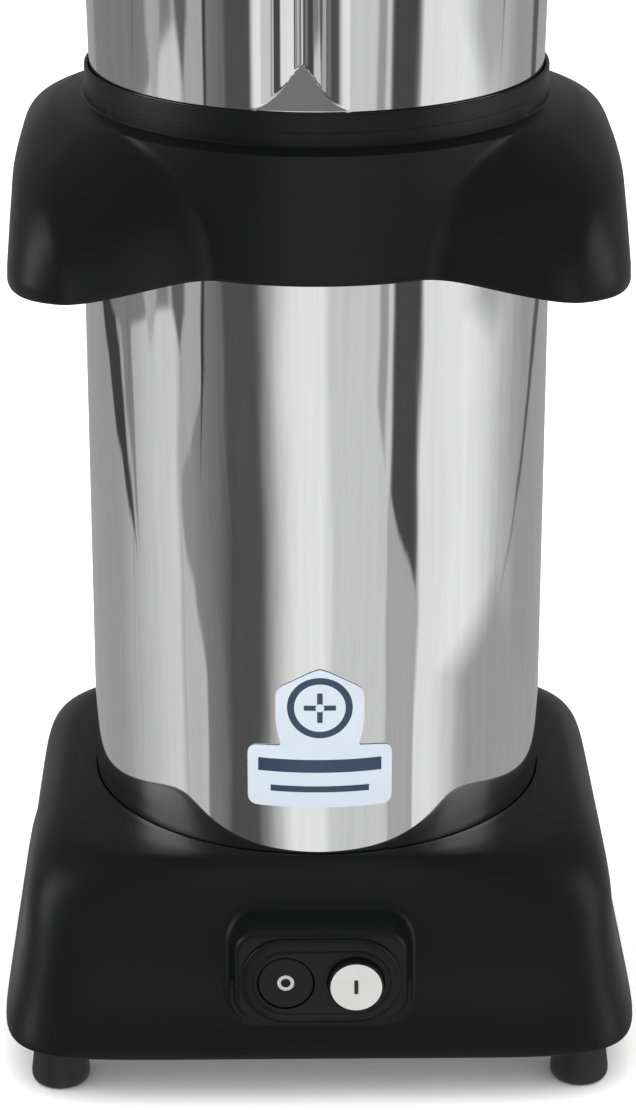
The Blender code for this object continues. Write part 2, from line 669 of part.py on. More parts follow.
def build_blades(parts, cutters):
    floor = JAR_FLOOR + JAR_WALL
    turned("housing_gasket", ring(21, 13.4, floor + GAP, floor + 1.6), "black_rubber", parts, 24)
    housing = [(9, 343), (12, 341), (15, 337), (22, 335.5), (22, floor + 1.9), (12.6, floor + 1.9),
               (12.6, 322), (BORE_R, 322), (BORE_R, 343)]
    turned("blade_housing", housing, "plain_steel", parts, 24)
    build_nut("housing_nut", 18.0, 12.9, 323, JAR_FLOOR - GAP, "plain_steel", parts)
    turned("blade_shaft", rod(SHAFT_R, 317.2, 358), "plain_steel", parts, 24)
    hole = turned("blade_hole", rod(BORE_R, 335, 360), None, cutters, 24)
    lower = ((0, 0, 8), (14, 0, 7.5), (30, 8, 5), (42, 15, 1.5))
    upper = ((0, 0, 8), (14, 0, 7.5), (26, 16, 5), (32, 26, 1.5))
    for name, stations, height, turn in (("blade_lower", lower, 343.5, 20), ("blade_upper", upper, 346, 110)):
        combine(blade_bar(name, stations, height, turn, parts), hole)
    build_nut("blade_nut", 8.0, BORE_R, 348.4, 355, "plain_steel", parts)


def blade_bar(name, stations, height, turn, parts):
    """Bent bar from tip to tip; a station is reach, rise and half width."""
    thick = 2.0
    half = [(reach, rise, width) for reach, rise, width in stations]
    bar = [(-reach, rise, width) for reach, rise, width in reversed(half[1:])] + half
    bm = bmesh.new()
    rows = []
    for reach, rise, width in bar:
        rows.append([bm.verts.new((reach * MM, y * MM, (height + rise + z) * MM))
                     for y, z in ((-width, 0), (width, 0), (width, thick), (-width, thick))])
    for near, far in zip(rows, rows[1:]):
        for i in range(4):
            bm.faces.new((near[i], near[(i + 1) % 4], far[(i + 1) % 4], far[i]))
    bm.faces.new(rows[0])
    bm.faces.new(rows[-1])
    return place(name, bmesh_to_mesh(name, bm), "polished_steel", parts, turn=(0, 0, turn))


def build_lid(parts):
    seat = JAR_TOP + GAP
    lid = [(79.5, LID_TOP - 1.5), (80.2, seat + 1), (80.0, seat), (75.0, seat), (74.6, seat - 13), (70.0, seat - 13),
           (70.0, seat + 2), (30, seat + 2), (30, seat - 6), (24.4, seat - 6), (24.4, LID_TOP + 1),
           (32, LID_TOP + 1), (34, LID_TOP), (77.5, LID_TOP)]
    turned("jar_lid", lid, "black_rubber", parts, 36)
    rest = LID_TOP + 1 + GAP
    cap = [(0, 556), (11, 556), (13, 554), (11, rest + 4), (28, rest + 2.6), (28.6, rest), (23.9, rest),
           (23.4, seat - 4), (0, seat - 4)]
    turned("lid_cap", cap, "black_moulding", parts, 24)


def main():
    clear_scene()
    parts = new_collection("commercial_blender")
    cutters = new_collection("cutters")
    build_base(parts, cutters)
    build_underside(parts, cutters)
    build_switch(parts, cutters)
    build_inlet(parts)
    build_sleeve(parts, cutters)
    build_collar(parts)
    build_motor_frame(parts, cutters)
    build_stator(parts, cutters)
    build_rotor(parts, cutters)
    build_coupling(parts)
    build_jar(parts)
    build_handle(parts, cutters)
    build_blades(parts, cutters)
    build_lid(parts)


main()
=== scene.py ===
# %% [markdown]
# # A commercial blender around its imported frame
#
# The frame holds every mechanical piece of the blender at its real size: base, motor, collar, jar,
# blades and lid. This lesson dresses it. Each outer moulding and each polished sheet is built again
# with enough points to curve smoothly, it rides on the body that it belongs to, and it stands for the
# plain solid of the same place. The pieces inside the motor keep their solids and get finishes.
#
# The first cell loads the frame. Nothing made here may grow past it.

# %% Load the frame
import json
import math

import bmesh
import bpy
import numpy as np
from mathutils import Matrix, Vector


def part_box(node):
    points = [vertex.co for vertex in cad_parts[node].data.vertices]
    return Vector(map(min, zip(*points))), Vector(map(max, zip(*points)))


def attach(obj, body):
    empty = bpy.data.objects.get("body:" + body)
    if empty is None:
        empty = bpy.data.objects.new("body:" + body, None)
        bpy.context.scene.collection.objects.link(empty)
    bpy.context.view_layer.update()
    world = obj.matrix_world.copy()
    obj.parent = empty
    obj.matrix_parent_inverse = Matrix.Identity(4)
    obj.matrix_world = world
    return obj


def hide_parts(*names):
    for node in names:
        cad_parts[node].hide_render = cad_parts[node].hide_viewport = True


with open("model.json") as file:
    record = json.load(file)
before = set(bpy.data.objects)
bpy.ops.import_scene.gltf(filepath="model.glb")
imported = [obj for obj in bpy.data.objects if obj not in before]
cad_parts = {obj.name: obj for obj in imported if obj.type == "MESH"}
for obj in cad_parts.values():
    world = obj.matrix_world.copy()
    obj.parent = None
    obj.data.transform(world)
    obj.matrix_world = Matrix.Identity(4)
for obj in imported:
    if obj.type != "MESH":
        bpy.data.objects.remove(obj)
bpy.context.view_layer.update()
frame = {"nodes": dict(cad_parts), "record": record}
MM = 0.001

# %% [markdown]
# ## Places come from the frame
#
# A maker measures the part in hand instead of guessing. The next cell reads the boxes of the solids in
# millimetres and takes the few sizes that everything else is worked out from: the radius of the motor
# sleeve, the heights of the base, collar and jar, and where the buttons sit. Heights are counted from a
# datum plane inside the base, and the feet reach 3.4 mm below it, so every finished mesh is lifted by that.

# %% Driving sizes, in millimetres
STAND = 3.4


def box_of(node):
    """Lowest and highest corner of a solid in millimetres, with heights from the datum."""
    low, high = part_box(node)
    datum = Vector((0, 0, STAND))
    return low / MM - datum, high / MM - datum


sleeve_low, sleeve_high = box_of("motor_sleeve")
base_low, base_high = box_of("base_shell")
collar_high = box_of("collar")[1]
jar_low, jar_high = box_of("jar_shell")
bezel_low, bezel_high = box_of("switch_bezel")
stop_low, stop_high = box_of("button_off")
start_low, start_high = box_of("button_on")
foot_high = box_of("foot_front_right")[1]
inlet_low, inlet_high = box_of("cord_grommet")
lid_low, lid_high = box_of("jar_lid")
cap_low, cap_high = box_of("lid_cap")

SLEEVE_R = sleeve_high.x
BASE_TOP = base_high.z
BASE_FLOOR = base_low.z
COLLAR_EDGE = 267.5
RING_TOP = collar_high.z
JAR_FOOT = jar_low.z
JAR_TOP = jar_high.z
BEZEL_FRONT = -bezel_low.y
BEZEL_DOME = 2.2
POD_FACE = BEZEL_FRONT - BEZEL_DOME
print("sleeve radius", round(SLEEVE_R, 2), "base top", round(BASE_TOP, 2), "jar top", round(JAR_TOP, 2))

# %% [markdown]
# ## Sums with sockets
#
# A procedural finish is a chain of small sums: the distance from a centre, a mask, one minus that mask.
# Node by node such sums are hard to read, so a small class wraps an output socket and gives it Python's
# own operators. Every sum then becomes one Math node. All other nodes come from one method that takes
# the node's type, its settings and what goes into its sockets.

# %% A socket that does sums


class Wire:
    """An output socket that can be used in Python sums."""

    def __init__(self, graph, socket):
        self.graph = graph
        self.socket = socket

    def maths(self, operation, first, second=0.0):
        return self.graph.add("ShaderNodeMath", {"operation": operation}, {0: first, 1: second})

    def zigzag(self, half):
        """Rise from 0 to 1 over a half period and fall back over the next."""
        return self.maths("PINGPONG", self, half) / half

    def __add__(self, other):
        return self.maths("ADD", self, other)

    def __sub__(self, other):
        return self.maths("SUBTRACT", self, other)

    def __rsub__(self, other):
        return self.maths("SUBTRACT", other, self)

    def __mul__(self, other):
        return self.maths("MULTIPLY", self, other)

    def __truediv__(self, other):
        return self.maths("DIVIDE", self, other)

    def __pow__(self, other):
        return self.maths("POWER", self, other)

    def __lt__(self, other):
        return self.maths("LESS_THAN", self, other)

    def __gt__(self, other):
        return self.maths("GREATER_THAN", self, other)

    def __abs__(self):
        return self.maths("ABSOLUTE", self)

    __radd__ = __add__
    __rmul__ = __mul__


class Graph:
    """A node tree that nodes are added to in one way."""

    def __init__(self, tree):
        self.tree = tree

    def add(self, kind, settings=None, sockets=None, out=0):
        node = self.tree.nodes.new(kind)
        for name, value in (settings or {}).items():
            if name == "stops":
                self.set_stops(node.color_ramp, value)
            else:
                setattr(node, name, value)
        for name, value in (sockets or {}).items():
            self.feed(node.inputs[name], value)
        return Wire(self, node.outputs[out])

    def feed(self, socket, value):
        if isinstance(value, Wire):
            self.tree.links.new(value.socket, socket)
        elif isinstance(value, tuple) and len(value) == 3 and socket.type == "RGBA":
            socket.default_value = (*value, 1.0)
        else:
            socket.default_value = value

    def mix(self, amount, low, high):
        """Blend of two colours."""
        node = self.add("ShaderNodeMix", {"data_type": "RGBA"}, {0: amount}).socket.node
        self.feed(node.inputs[6], low)
        self.feed(node.inputs[7], high)
        return Wire(self, node.outputs[2])

    @staticmethod
    def set_stops(ramp, stops):
        while len(ramp.elements) < len(stops):
            ramp.elements.new(0.5)
        for element, (place, colour) in zip(ramp.elements, stops):
            element.position = place
            element.color = (*colour, 1.0) if isinstance(colour, tuple) else (colour, colour, colour, 1.0)


print("sums with sockets are ready")

# %% [markdown]
# ## Where a finish is measured from
#
# Pieces are made in place, with their object at the frame's origin, so the Object output of the Texture
# Coordinate node is the place on the blender in metres. Grain and waves are laid out in that space: they
# keep their real size on every piece and move with it. The helpers give that place, its three numbers,
# and noise with a stated grain size in millimetres.

# %% Places, noise and bumps


class Finish(Graph):
    """A material under construction, with its Principled shader at hand."""

    def __init__(self, name):
        self.material = bpy.data.materials.new(name)
        self.material.use_nodes = True
        super().__init__(self.material.node_tree)
        self.shader = self.tree.nodes["Principled BSDF"]

    def place(self):
        return self.add("ShaderNodeTexCoord", out="Object")

    def numbers(self):
        """X, Y and Z of the place, each as a wire, in metres."""
        split = self.add("ShaderNodeSeparateXYZ", sockets={0: self.place()}).socket.node
        return [Wire(self, output) for output in split.outputs]

    def noise(self, grain, stretch=(1, 1, 1), detail=2.0):
        """Noise whose features are about grain millimetres across, longer along a stretched axis."""
        scale = tuple(1.0 / (grain * MM * factor) for factor in stretch)
        spot = self.add("ShaderNodeVectorMath", {"operation": "MULTIPLY"}, {0: self.place(), 1: scale})
        return self.add("ShaderNodeTexNoise", {}, {"Vector": spot, "Scale": 1.0, "Detail": detail})

    def bump(self, height, depth, under=None):
        """Relief of depth millimetres; under is another relief that it lies on."""
        sockets = {"Height": height, "Distance": depth * MM, "Strength": 1.0}
        if under:
            sockets["Normal"] = under
        return self.add("ShaderNodeBump", {}, sockets)

    def set(self, **values):
        for name, value in values.items():
            self.feed(self.shader.inputs[name.replace("_", " ")], value)
        return self.material


print("places, noise and bumps are ready")

# %% [markdown]
# ## Black mouldings
#
# The base, collar, handle and cap are moulded in black plastic. The tool was spark eroded, which leaves
# a very fine even grain, so the surface is satin: highlights are soft and wide. Handling polishes it a
# little in patches. The grain is a bump far too small to see as relief, and the patches move the
# roughness.

# %% Black moulding


def black_moulding():
    finish = Finish("black_moulding")
    patches = finish.noise(45, detail=3.0)
    grain = finish.noise(0.35, detail=1.0)
    return finish.set(
        Base_Color=finish.mix(patches, (0.0034, 0.0036, 0.0036), (0.0050, 0.0052, 0.0052)),
        Roughness=0.34 + patches * 0.10,
        Normal=finish.bump(grain, 0.006),
        Specular_IOR_Level=0.22,
    )


# %% [markdown]
# ## Polished steel sheet
#
# The sleeve and the jar are stainless sheet, rolled, welded and polished like a mirror. No sheet is
# perfectly round: long shallow waves bend the reflections, so the edges of the bright streaks wander.
# The waves are a bump of a few hundredths of a millimetre, stretched along the axis. Fine polishing
# lines and finger haze change only the roughness.

# %% Polished steel


def polished_steel(name, haze):
    finish = Finish(name)
    waves = finish.noise(26, (1, 1, 6.0), detail=1.0)
    slow = finish.noise(70, (1, 1, 2.5), detail=0.0)
    lines = finish.noise(1.2, (40, 40, 0.5), detail=2.0)
    smudges = finish.noise(34, (1, 1, 1.6), detail=4.0)
    return finish.set(
        Base_Color=finish.mix(smudges, (0.70, 0.70, 0.705), (0.76, 0.76, 0.765)),
        Metallic=1.0,
        Roughness=haze + smudges * 0.04 + lines * 0.03,
        Normal=finish.bump(waves, 0.10, under=finish.bump(slow, 0.35)),
    )


# %% [markdown]
# ## Machined steel, cast metal, rubber and plain plastics
#
# The screws, nuts, brackets and shafts are turned or pressed and left as they come from the machine:
# tool lines run round them and the roughness streaks with the lines. Castings are duller and sandy.
# Rubber scatters light evenly and holds a little pale dust. The small plastics differ only in colour
# and gloss, so one function makes them.

# %% Small finishes


def machined_steel():
    finish = Finish("machined_steel")
    lines = finish.noise(0.5, (30, 30, 0.6), detail=2.0)
    blotches = finish.noise(12, detail=2.0)
    return finish.set(
        Base_Color=finish.mix(blotches, (0.50, 0.50, 0.51), (0.60, 0.60, 0.60)),
        Metallic=1.0,
        Roughness=0.22 + lines * 0.16,
        Normal=finish.bump(lines, 0.004),
    )


def cast_metal():
    finish = Finish("cast_metal")
    sand = finish.noise(0.9, detail=3.0)
    return finish.set(
        Base_Color=finish.mix(sand, (0.40, 0.40, 0.41), (0.56, 0.56, 0.56)),
        Metallic=0.9,
        Roughness=0.45 + sand * 0.15,
        Normal=finish.bump(sand, 0.05),
    )


def black_rubber(name, pale, roughness):
    finish = Finish(name)
    dust = finish.noise(18, detail=4.0)
    grain = finish.noise(0.6, detail=2.0)
    dark, light = (pale * 0.7, pale * 0.7, pale * 0.7), (pale * 1.3, pale * 1.3, pale * 1.28)
    return finish.set(
        Base_Color=finish.mix(dust, dark, light),
        Roughness=roughness + grain * 0.12,
        Normal=finish.bump(grain, 0.012),
    )


def plain_plastic(name, colour, roughness):
    finish = Finish(name)
    mottle = finish.noise(6, detail=2.0)
    darker = tuple(value * 0.93 for value in colour)
    return finish.set(
        Base_Color=finish.mix(mottle, darker, colour),
        Roughness=roughness + mottle * 0.06,
        Normal=finish.bump(finish.noise(0.3, detail=1.0), 0.003),
    )


# %% [markdown]
# ## Finishes inside the motor
#
# Three finishes are patterns that follow the piece's form. Windings are rows of round wire, so a wave along
# the height gives each turn its ridge, and the same wave paints the copper dark in the grooves between turns
# as painted shade and bright on the crests as painted highlight. The stator and armature are stacked from
# thin sheets, which shows as fine dark joints. The commutator is a ring of copper bars parted by mica, so its
# pattern turns with the angle round the shaft.

# %% Motor finishes


def copper_winding():
    finish = Finish("copper_winding")
    turns = finish.numbers()[2].zigzag(0.45 * MM)
    return finish.set(
        # painted shade in the grooves between turns and painted highlight on their crests
        Base_Color=finish.mix(turns, (0.30, 0.09, 0.035), (0.74, 0.33, 0.16)),
        Metallic=0.85,
        Roughness=0.28 + (1 - turns) * 0.25,
        Normal=finish.bump(turns, 0.25),
    )


def laminated_steel():
    finish = Finish("laminated_steel")
    sheet = finish.numbers()[2].zigzag(0.5 * MM)
    joint = sheet < 0.2
    return finish.set(
        Base_Color=finish.mix(joint, (0.22, 0.22, 0.235), (0.03, 0.03, 0.03)),
        Metallic=0.8,
        Roughness=0.42 + joint * 0.3,
        Normal=finish.bump(sheet, 0.05),
    )


def commutator_bars():
    finish = Finish("commutator_bars")
    across, along = finish.numbers()[:2]
    angle = along.maths("ARCTAN2", along, across)
    bar = (angle + math.pi).zigzag(math.pi / 24)
    mica = bar < 0.14
    return finish.set(
        Base_Color=finish.mix(mica, (0.72, 0.40, 0.20), (0.05, 0.04, 0.03)),
        Metallic=1 - mica,
        Roughness=0.24 + mica * 0.5,
        Normal=finish.bump(1 - mica, 0.3),
    )


# %% [markdown]
# ## The printed label
#
# A pale vinyl label sits low on the sleeve. Its print here is a plain navy ring with a small cross of vanes,
# over two plain bars, and it carries no name or mark. Each printed shape is a mask: a distance from the
# middle of the ring for the ring, and limits across and up for the vanes and bars.

# %% Printed label


def printed_label():
    finish = Finish("printed_label")
    across, _, height = finish.numbers()
    middle = (114.4 + STAND) * MM
    ring_centre = middle + 11.0 * MM
    up = height - ring_centre
    reach = (across * across + up * up) ** 0.5
    ring = (reach < 10.6 * MM) * (reach > 8.3 * MM)
    vanes = (abs(across) < 0.9 * MM) * (reach < 5.2 * MM) * (reach > 1.4 * MM)
    cross_vanes = (abs(up) < 0.9 * MM) * (reach < 5.2 * MM) * (reach > 1.4 * MM)
    long_bar = (abs(across) < 20.0 * MM) * (abs(height - middle + 9.6 * MM) < 2.3 * MM)
    short_bar = (abs(across) < 16.0 * MM) * (abs(height - middle + 17.8 * MM) < 1.1 * MM)
    ink = finish.add("ShaderNodeMath", {"operation": "ADD", "use_clamp": True},
                     {0: ring + vanes + cross_vanes, 1: long_bar + short_bar})
    fade = finish.noise(9, detail=2.0)
    paper = finish.mix(fade, (0.53, 0.60, 0.68), (0.60, 0.66, 0.73))
    return finish.set(
        Base_Color=finish.mix(ink, paper, (0.018, 0.04, 0.085)),
        Roughness=0.34 + fade * 0.08,
        Normal=finish.bump(ink, 0.02),
    )


FINISHES = {
    "moulding": black_moulding(),
    "sleeve_steel": polished_steel("sleeve_steel", 0.0),
    "jar_steel": polished_steel("jar_steel", 0.01),
    "plain_steel": machined_steel(),
    "cast_metal": cast_metal(),
    "foot_rubber": black_rubber("foot_rubber", 0.006, 0.5),
    "lid_rubber": black_rubber("lid_rubber", 0.02, 0.55),
    "white_button": plain_plastic("white_button", (0.56, 0.56, 0.55), 0.3),
    "mark_pale": plain_plastic("mark_pale", (0.45, 0.45, 0.45), 0.5),
    "mark_dark": plain_plastic("mark_dark", (0.008, 0.008, 0.008), 0.5),
    "inner_plastic": plain_plastic("inner_plastic", (0.25, 0.25, 0.26), 0.45),
    "carbon": plain_plastic("carbon", (0.03, 0.03, 0.032), 0.6),
    "copper": copper_winding(),
    "lamination": laminated_steel(),
    "commutator": commutator_bars(),
    "label": printed_label(),
}
print(len(FINISHES), "finishes")

# %% [markdown]
# ## One way to make a skin
#
# Most pieces here are skins over rings: a ring of points is the cut through the piece at one place, and
# each ring joins the next. A turned piece is the simple case, where every ring is a circle. The helper
# makes the mesh, shades it smooth up to a crease angle, gives it its finish and lets it ride.

# %% Skins and spun profiles


def finish_piece(obj, finish, body, replaces=(), crease=40.0):
    obj.data.materials.clear()
    obj.data.materials.append(FINISHES[finish])
    obj.data.shade_smooth()
    obj.data.set_sharp_from_angle(angle=math.radians(crease))
    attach(obj, body)
    if replaces:
        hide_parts(*replaces)
    return obj


def link_mesh(name, bm):
    bmesh.ops.remove_doubles(bm, verts=bm.verts, dist=0.002 * MM)
    bmesh.ops.dissolve_degenerate(bm, edges=bm.edges, dist=0.001 * MM)
    bmesh.ops.recalc_face_normals(bm, faces=bm.faces)
    bmesh.ops.translate(bm, verts=bm.verts, vec=(0, 0, STAND * MM))
    mesh = bpy.data.meshes.new(name)
    bm.to_mesh(mesh)
    bm.free()
    obj = bpy.data.objects.new(name, mesh)
    bpy.context.scene.collection.objects.link(obj)
    return obj


def skin(name, rings, closed=True, capped=True):
    """Skin over rings of points in millimetres, closed into a loop, capped at both ends or left open."""
    bm = bmesh.new()
    rows = [[bm.verts.new(Vector(point) * MM) for point in ring] for ring in rings]
    pairs = list(zip(rows, rows[1:] + rows[:1])) if closed else list(zip(rows, rows[1:]))
    for row, after in pairs:
        for i in range(len(row)):
            j = (i + 1) % len(row)
            bm.faces.new((row[i], row[j], after[j], after[i]))
    if capped and not closed:
        bm.faces.new(rows[0])
        bm.faces.new(rows[-1])
    return link_mesh(name, bm)


def rounded(corners, steps=5):
    """Profile with its corners turned on a curve; a corner is radius, height and how much is rounded."""
    points = []
    count = len(corners)
    for i, (r, z, ease) in enumerate(corners):
        here = Vector((r, z))
        if ease <= 0:
            points.append((r, z))
            continue
        before = Vector(corners[i - 1][:2]) - here
        after = Vector(corners[(i + 1) % count][:2]) - here
        start = here + before.normalized() * min(ease, before.length * 0.49)
        end = here + after.normalized() * min(ease, after.length * 0.49)
        for k in range(steps + 1):
            t = k / steps
            spot = start * (1 - t) ** 2 + here * 2 * t * (1 - t) + end * t * t
            points.append((spot.x, spot.y))
    return points


def spun(name, corners, segments=128, at=(0, 0, 0), outward=None, steps=5):
    """Turned piece round +Z, or round the Y axis when outward is -1 (front) or +1 (back)."""
    rings = []
    for r, z in rounded(corners, steps):
        ring = []
        for i in range(segments):
            a = 2 * math.pi * i / segments
            x, y = max(r, 0.0) * math.sin(a), -max(r, 0.0) * math.cos(a)
            if outward is None:
                ring.append((at[0] + x, at[1] + y, at[2] + z))
            else:
                ring.append((at[0] + x, at[1] + outward * z, at[2] + y))
        rings.append(ring)
    return skin(name, rings, closed=corners[0][0] > 0, capped=False)


def boolean(target, other, operation):
    """Join or cut with Blender's exact solver, and keep the result as plain mesh."""
    step = target.modifiers.new("step", "BOOLEAN")
    step.operation = operation
    step.solver = "EXACT"
    step.object = other
    evaluated = target.evaluated_get(bpy.context.evaluated_depsgraph_get())
    mesh = bpy.data.meshes.new_from_object(evaluated)
    target.modifiers.clear()
    target.data = mesh
    bpy.data.objects.remove(other)


print("skins and spun profiles are ready")

# %% [markdown]
# ## Rounded-square sections
#
# The base and the collar share one idea. A level cut through them is between a circle and a square, and
# one formula covers both: a superellipse, whose power sets how square it is. A short table says how wide,
# deep and square each level is. A smooth curve through the table's rows gives as many rings as wanted.

# %% Sections and flowing levels


def step_up(low, high, value):
    part = min(max((value - low) / (high - low), 0.0), 1.0)
    return part * part * (3 - 2 * part)


def square_radius(azimuth, half_width, half_depth, squareness):
    a = math.radians(azimuth)
    across = abs(math.sin(a)) / half_width
    along = abs(math.cos(a)) / half_depth
    return (across ** squareness + along ** squareness) ** (-1 / squareness)


def folded(azimuth):
    """Angle from the nearest of front and back, 0 to 90 degrees."""
    return math.degrees(math.asin(min(abs(math.sin(math.radians(azimuth))), 1.0)))


def corner_azimuths(per_quarter=92, crowding=1.2):
    """Azimuths round the object, closer together at the four corners."""
    angles = []
    for quarter in range(4):
        for i in range(per_quarter):
            offset = 2 * i / per_quarter - 1
            angles.append(90 * quarter + 45 + 45 * math.copysign(abs(offset) ** crowding, offset))
    return angles


def ring_at(azimuths, radius, height):
    """Ring of points; radius and height are numbers or functions of the azimuth."""
    ring = []
    for azimuth in azimuths:
        r = radius(azimuth) if callable(radius) else radius
        z = height(azimuth) if callable(height) else height
        a = math.radians(azimuth)
        ring.append((r * math.sin(a), -r * math.cos(a), z))
    return ring


def flowing(levels, steps):
    """Rows on a smooth curve through the rows of a table, the first and last rows included."""
    table = np.array(levels, float)
    padded = np.vstack([2 * table[0] - table[1], table, 2 * table[-1] - table[-2]])
    rows = []
    for i in range(1, len(padded) - 2):
        p0, p1, p2, p3 = padded[i - 1:i + 3]
        for k in range(steps):
            t = k / steps
            rows.append(0.5 * (2 * p1 + (p2 - p0) * t + (2 * p0 - 5 * p1 + 4 * p2 - p3) * t ** 2
                               + (3 * p1 - p0 - 3 * p2 + p3) * t ** 3))
    rows.append(table[-1])
    return rows


AZIMUTHS = corner_azimuths()
print(len(AZIMUTHS), "points in a ring")

# %% [markdown]
# ## The base shell
#
# The base is one moulding: nearly square on the floor, leaning in at the front and back, steeper at the
# sides, with four shoulders that close round the steel sleeve. Its levels flow from the bottom lip up the
# walls and over the shoulders to the edge of the bore. The wall turns down inside and ends in the ledge
# that the sleeve stands on.

# %% Base levels
# height, half width, half depth, squareness
BASE_LEVELS = (
    (BASE_FLOOR + 0.9, 104.9, 104.2, 8.2),
    (BASE_FLOOR + 2.4, 105.2, 104.5, 8.5),
    (26.0, 102.0, 98.3, 9.0),
    (40.0, 99.2, 92.5, 9.0),
    (54.0, 97.7, 86.2, 8.4),
    (64.0, 94.8, 81.9, 6.8),
    (70.6, 89.2, 79.3, 4.6),
    (72.6, 82.5, 78.0, 3.0),
    (BASE_TOP, 77.3, 76.9, 2.0),
)
BASE_WALL = 4.0
LEDGE = sleeve_low.z - 0.3


def base_section(row, inset=0.0):
    return lambda azimuth: square_radius(azimuth, row[1], row[2], row[3]) - inset


def front_distance(across, height):
    """How far the base's front wall stands before the axis at a place on it."""
    table = np.array(BASE_LEVELS)
    width, depth, squareness = (np.interp(height, table[:, 0], table[:, k]) for k in (1, 2, 3))
    return depth * (1 - min(abs(across) / width, 0.99) ** squareness) ** (1 / squareness)


def build_base_skin():
    rings = [ring_at(AZIMUTHS, base_section(BASE_LEVELS[0], 0.9), BASE_FLOOR)]
    for row in flowing(BASE_LEVELS, 7):
        rings.append(ring_at(AZIMUTHS, base_section(row), row[0]))
    bore = SLEEVE_R + 0.12
    rings.append(ring_at(AZIMUTHS, bore + 0.25, BASE_TOP - 0.15))
    rings.append(ring_at(AZIMUTHS, bore, BASE_TOP - 0.7))
    rings.append(ring_at(AZIMUTHS, bore, LEDGE))
    rings.append(ring_at(AZIMUTHS, 70.0, LEDGE))
    rings.append(ring_at(AZIMUTHS, 70.0, LEDGE - 4))
    for row in reversed(BASE_LEVELS[1:5]):
        rings.append(ring_at(AZIMUTHS, base_section(row, BASE_WALL), row[0]))
    rings.append(ring_at(AZIMUTHS, base_section(BASE_LEVELS[0], BASE_WALL), BASE_FLOOR))
    return skin("base_shell_skin", rings)


base = build_base_skin()
print("base skin", len(base.data.vertices), "points")

# %% [markdown]
# ## The switch pod
#
# The switch needs an upright face, but the front of the base leans back. So the moulding grows a wedge
# shaped pod: it stands out most at its top and fades into the wall at its foot. Its skin is made of rings
# that follow a rounded rectangle. The first rings lie on the wall and turn up in a fillet, the next climb
# the side with a little draft, then turn over the front edge, and the last ones cross the upright face.

# %% Pod skin


def rounded_rectangle(half_width, half_height, corner, steps=10):
    """Outline round the origin as (x, z) pairs, from the lower right corner anticlockwise."""
    points = []
    for quarter, (sx, sz) in enumerate(((1, -1), (1, 1), (-1, 1), (-1, -1))):
        cx, cz = sx * (half_width - corner), sz * (half_height - corner)
        for i in range(steps + 1):
            a = math.radians(90 * (quarter - 1) + 90 * i / steps)
            points.append((cx + corner * math.cos(a), cz + corner * math.sin(a)))
    return points


def soft_max(a, b, blend):
    """The larger of two values, with a soft turn between them."""
    gap = max(blend - abs(a - b), 0.0) / blend
    return max(a, b) + gap * gap * blend / 4


def pod_skin(name, outline_at, centre_z, face, side, fillet, edge, draft):
    """Raised pod on the front (side -1) or back (side 1) wall; outline_at gives an outline for an offset."""
    rows = [(fillet, 0.0, -3.0)]
    for k in range(7):
        a = math.radians(15 * k)
        rows.append((fillet * (1 - math.sin(a)), 0.0, fillet * (1 - math.cos(a))))
    for k in range(7):
        a = math.radians(15 * k)
        rows.append((-draft - edge * (1 - math.cos(a)), 1.0, -edge * (1 - math.sin(a))))
    for shrink in (4.0, 8.0, 12.0):
        rows.append((-draft - edge - shrink, 1.0, 0.0))
    rings = []
    for offset, at_face, lift in rows:
        ring = []
        for x, z in outline_at(offset):
            wall = front_distance(x, centre_z + z)
            front = soft_max(face, wall - 0.12, 3.0)
            height = front - wall
            squeeze = min(1.0, max(height, 0.0) / (fillet + edge))
            reach = wall + at_face * height + lift * squeeze - 0.12 * (1 - at_face)
            if lift == -3.0:
                reach = wall - 3.0
            ring.append((x, side * reach, centre_z + z))
        rings.append(ring)
    return skin(name, rings, closed=False)


POD_LOW, POD_HIGH = 23.5, 57.2
POD_HALF = 29.6
POD_CENTRE = (POD_LOW + POD_HIGH) / 2
# points on each straight side, by the number of the corner point that it starts from
POD_SIDE_STEPS = {9: 14, 19: 24, 29: 14, 39: 24}


def pod_outline(offset):
    """Outline of the pod grown by an offset, always with the same number of points."""
    half = (POD_HIGH - POD_LOW) / 2
    corners = rounded_rectangle(POD_HALF + offset, half + offset, max(9.0 + offset, 1.2), 9)
    points = []
    for i, (here, after) in enumerate(zip(corners, corners[1:] + corners[:1])):
        steps = POD_SIDE_STEPS.get(i, 1)
        points += [(here[0] + (after[0] - here[0]) * k / steps, here[1] + (after[1] - here[1]) * k / steps)
                   for k in range(steps)]
    return points


pod = pod_skin("switch_pod", pod_outline, POD_CENTRE, POD_FACE - 0.3, -1, 2.6, 2.4, 1.2)
print("pod skin", len(pod.data.vertices), "points")
boolean(base, pod, "UNION")

# %% Inlet pod at the back
INLET_Z = (inlet_low.z + inlet_high.z) / 2
INLET_FACE = 101.0


def inlet_outline(offset):
    radius = 13.0 + offset
    angles = [math.radians(5 * i) for i in range(72)]
    return [(radius * math.cos(a), radius * math.sin(a)) for a in angles]


inlet_pod = pod_skin("inlet_pod", inlet_outline, INLET_Z, INLET_FACE, 1, 2.0, 1.2, 0.4)
boolean(base, inlet_pod, "UNION")
print("base with pods", len(base.data.vertices), "points")

# %% [markdown]
# ## Openings in the base
#
# The switch goes through the pod's face in an opening with round ends, and its block hangs in a pocket
# behind. The mains lead leaves through a round hole at the back. They are cut from the finished skin, as
# a tool maker would sink them with cores.

# %% Cut the openings


def stadium(width, height, steps=16):
    """Outline of a bar with round ends, as (x, z) pairs round the origin."""
    radius = height / 2
    reach = width / 2 - radius
    points = []
    for side in (1, -1):
        for i in range(steps + 1):
            a = math.pi * (i / steps - 0.5)
            points.append((side * (reach + radius * math.cos(a)), side * radius * math.sin(a)))
    return points


def prism(name, outline, near, far, centre_z):
    """Straight prism of an outline between two distances along Y."""
    rings = [[(x, y, centre_z + z) for x, z in outline] for y in (near, far)]
    return skin(name, rings, closed=False)


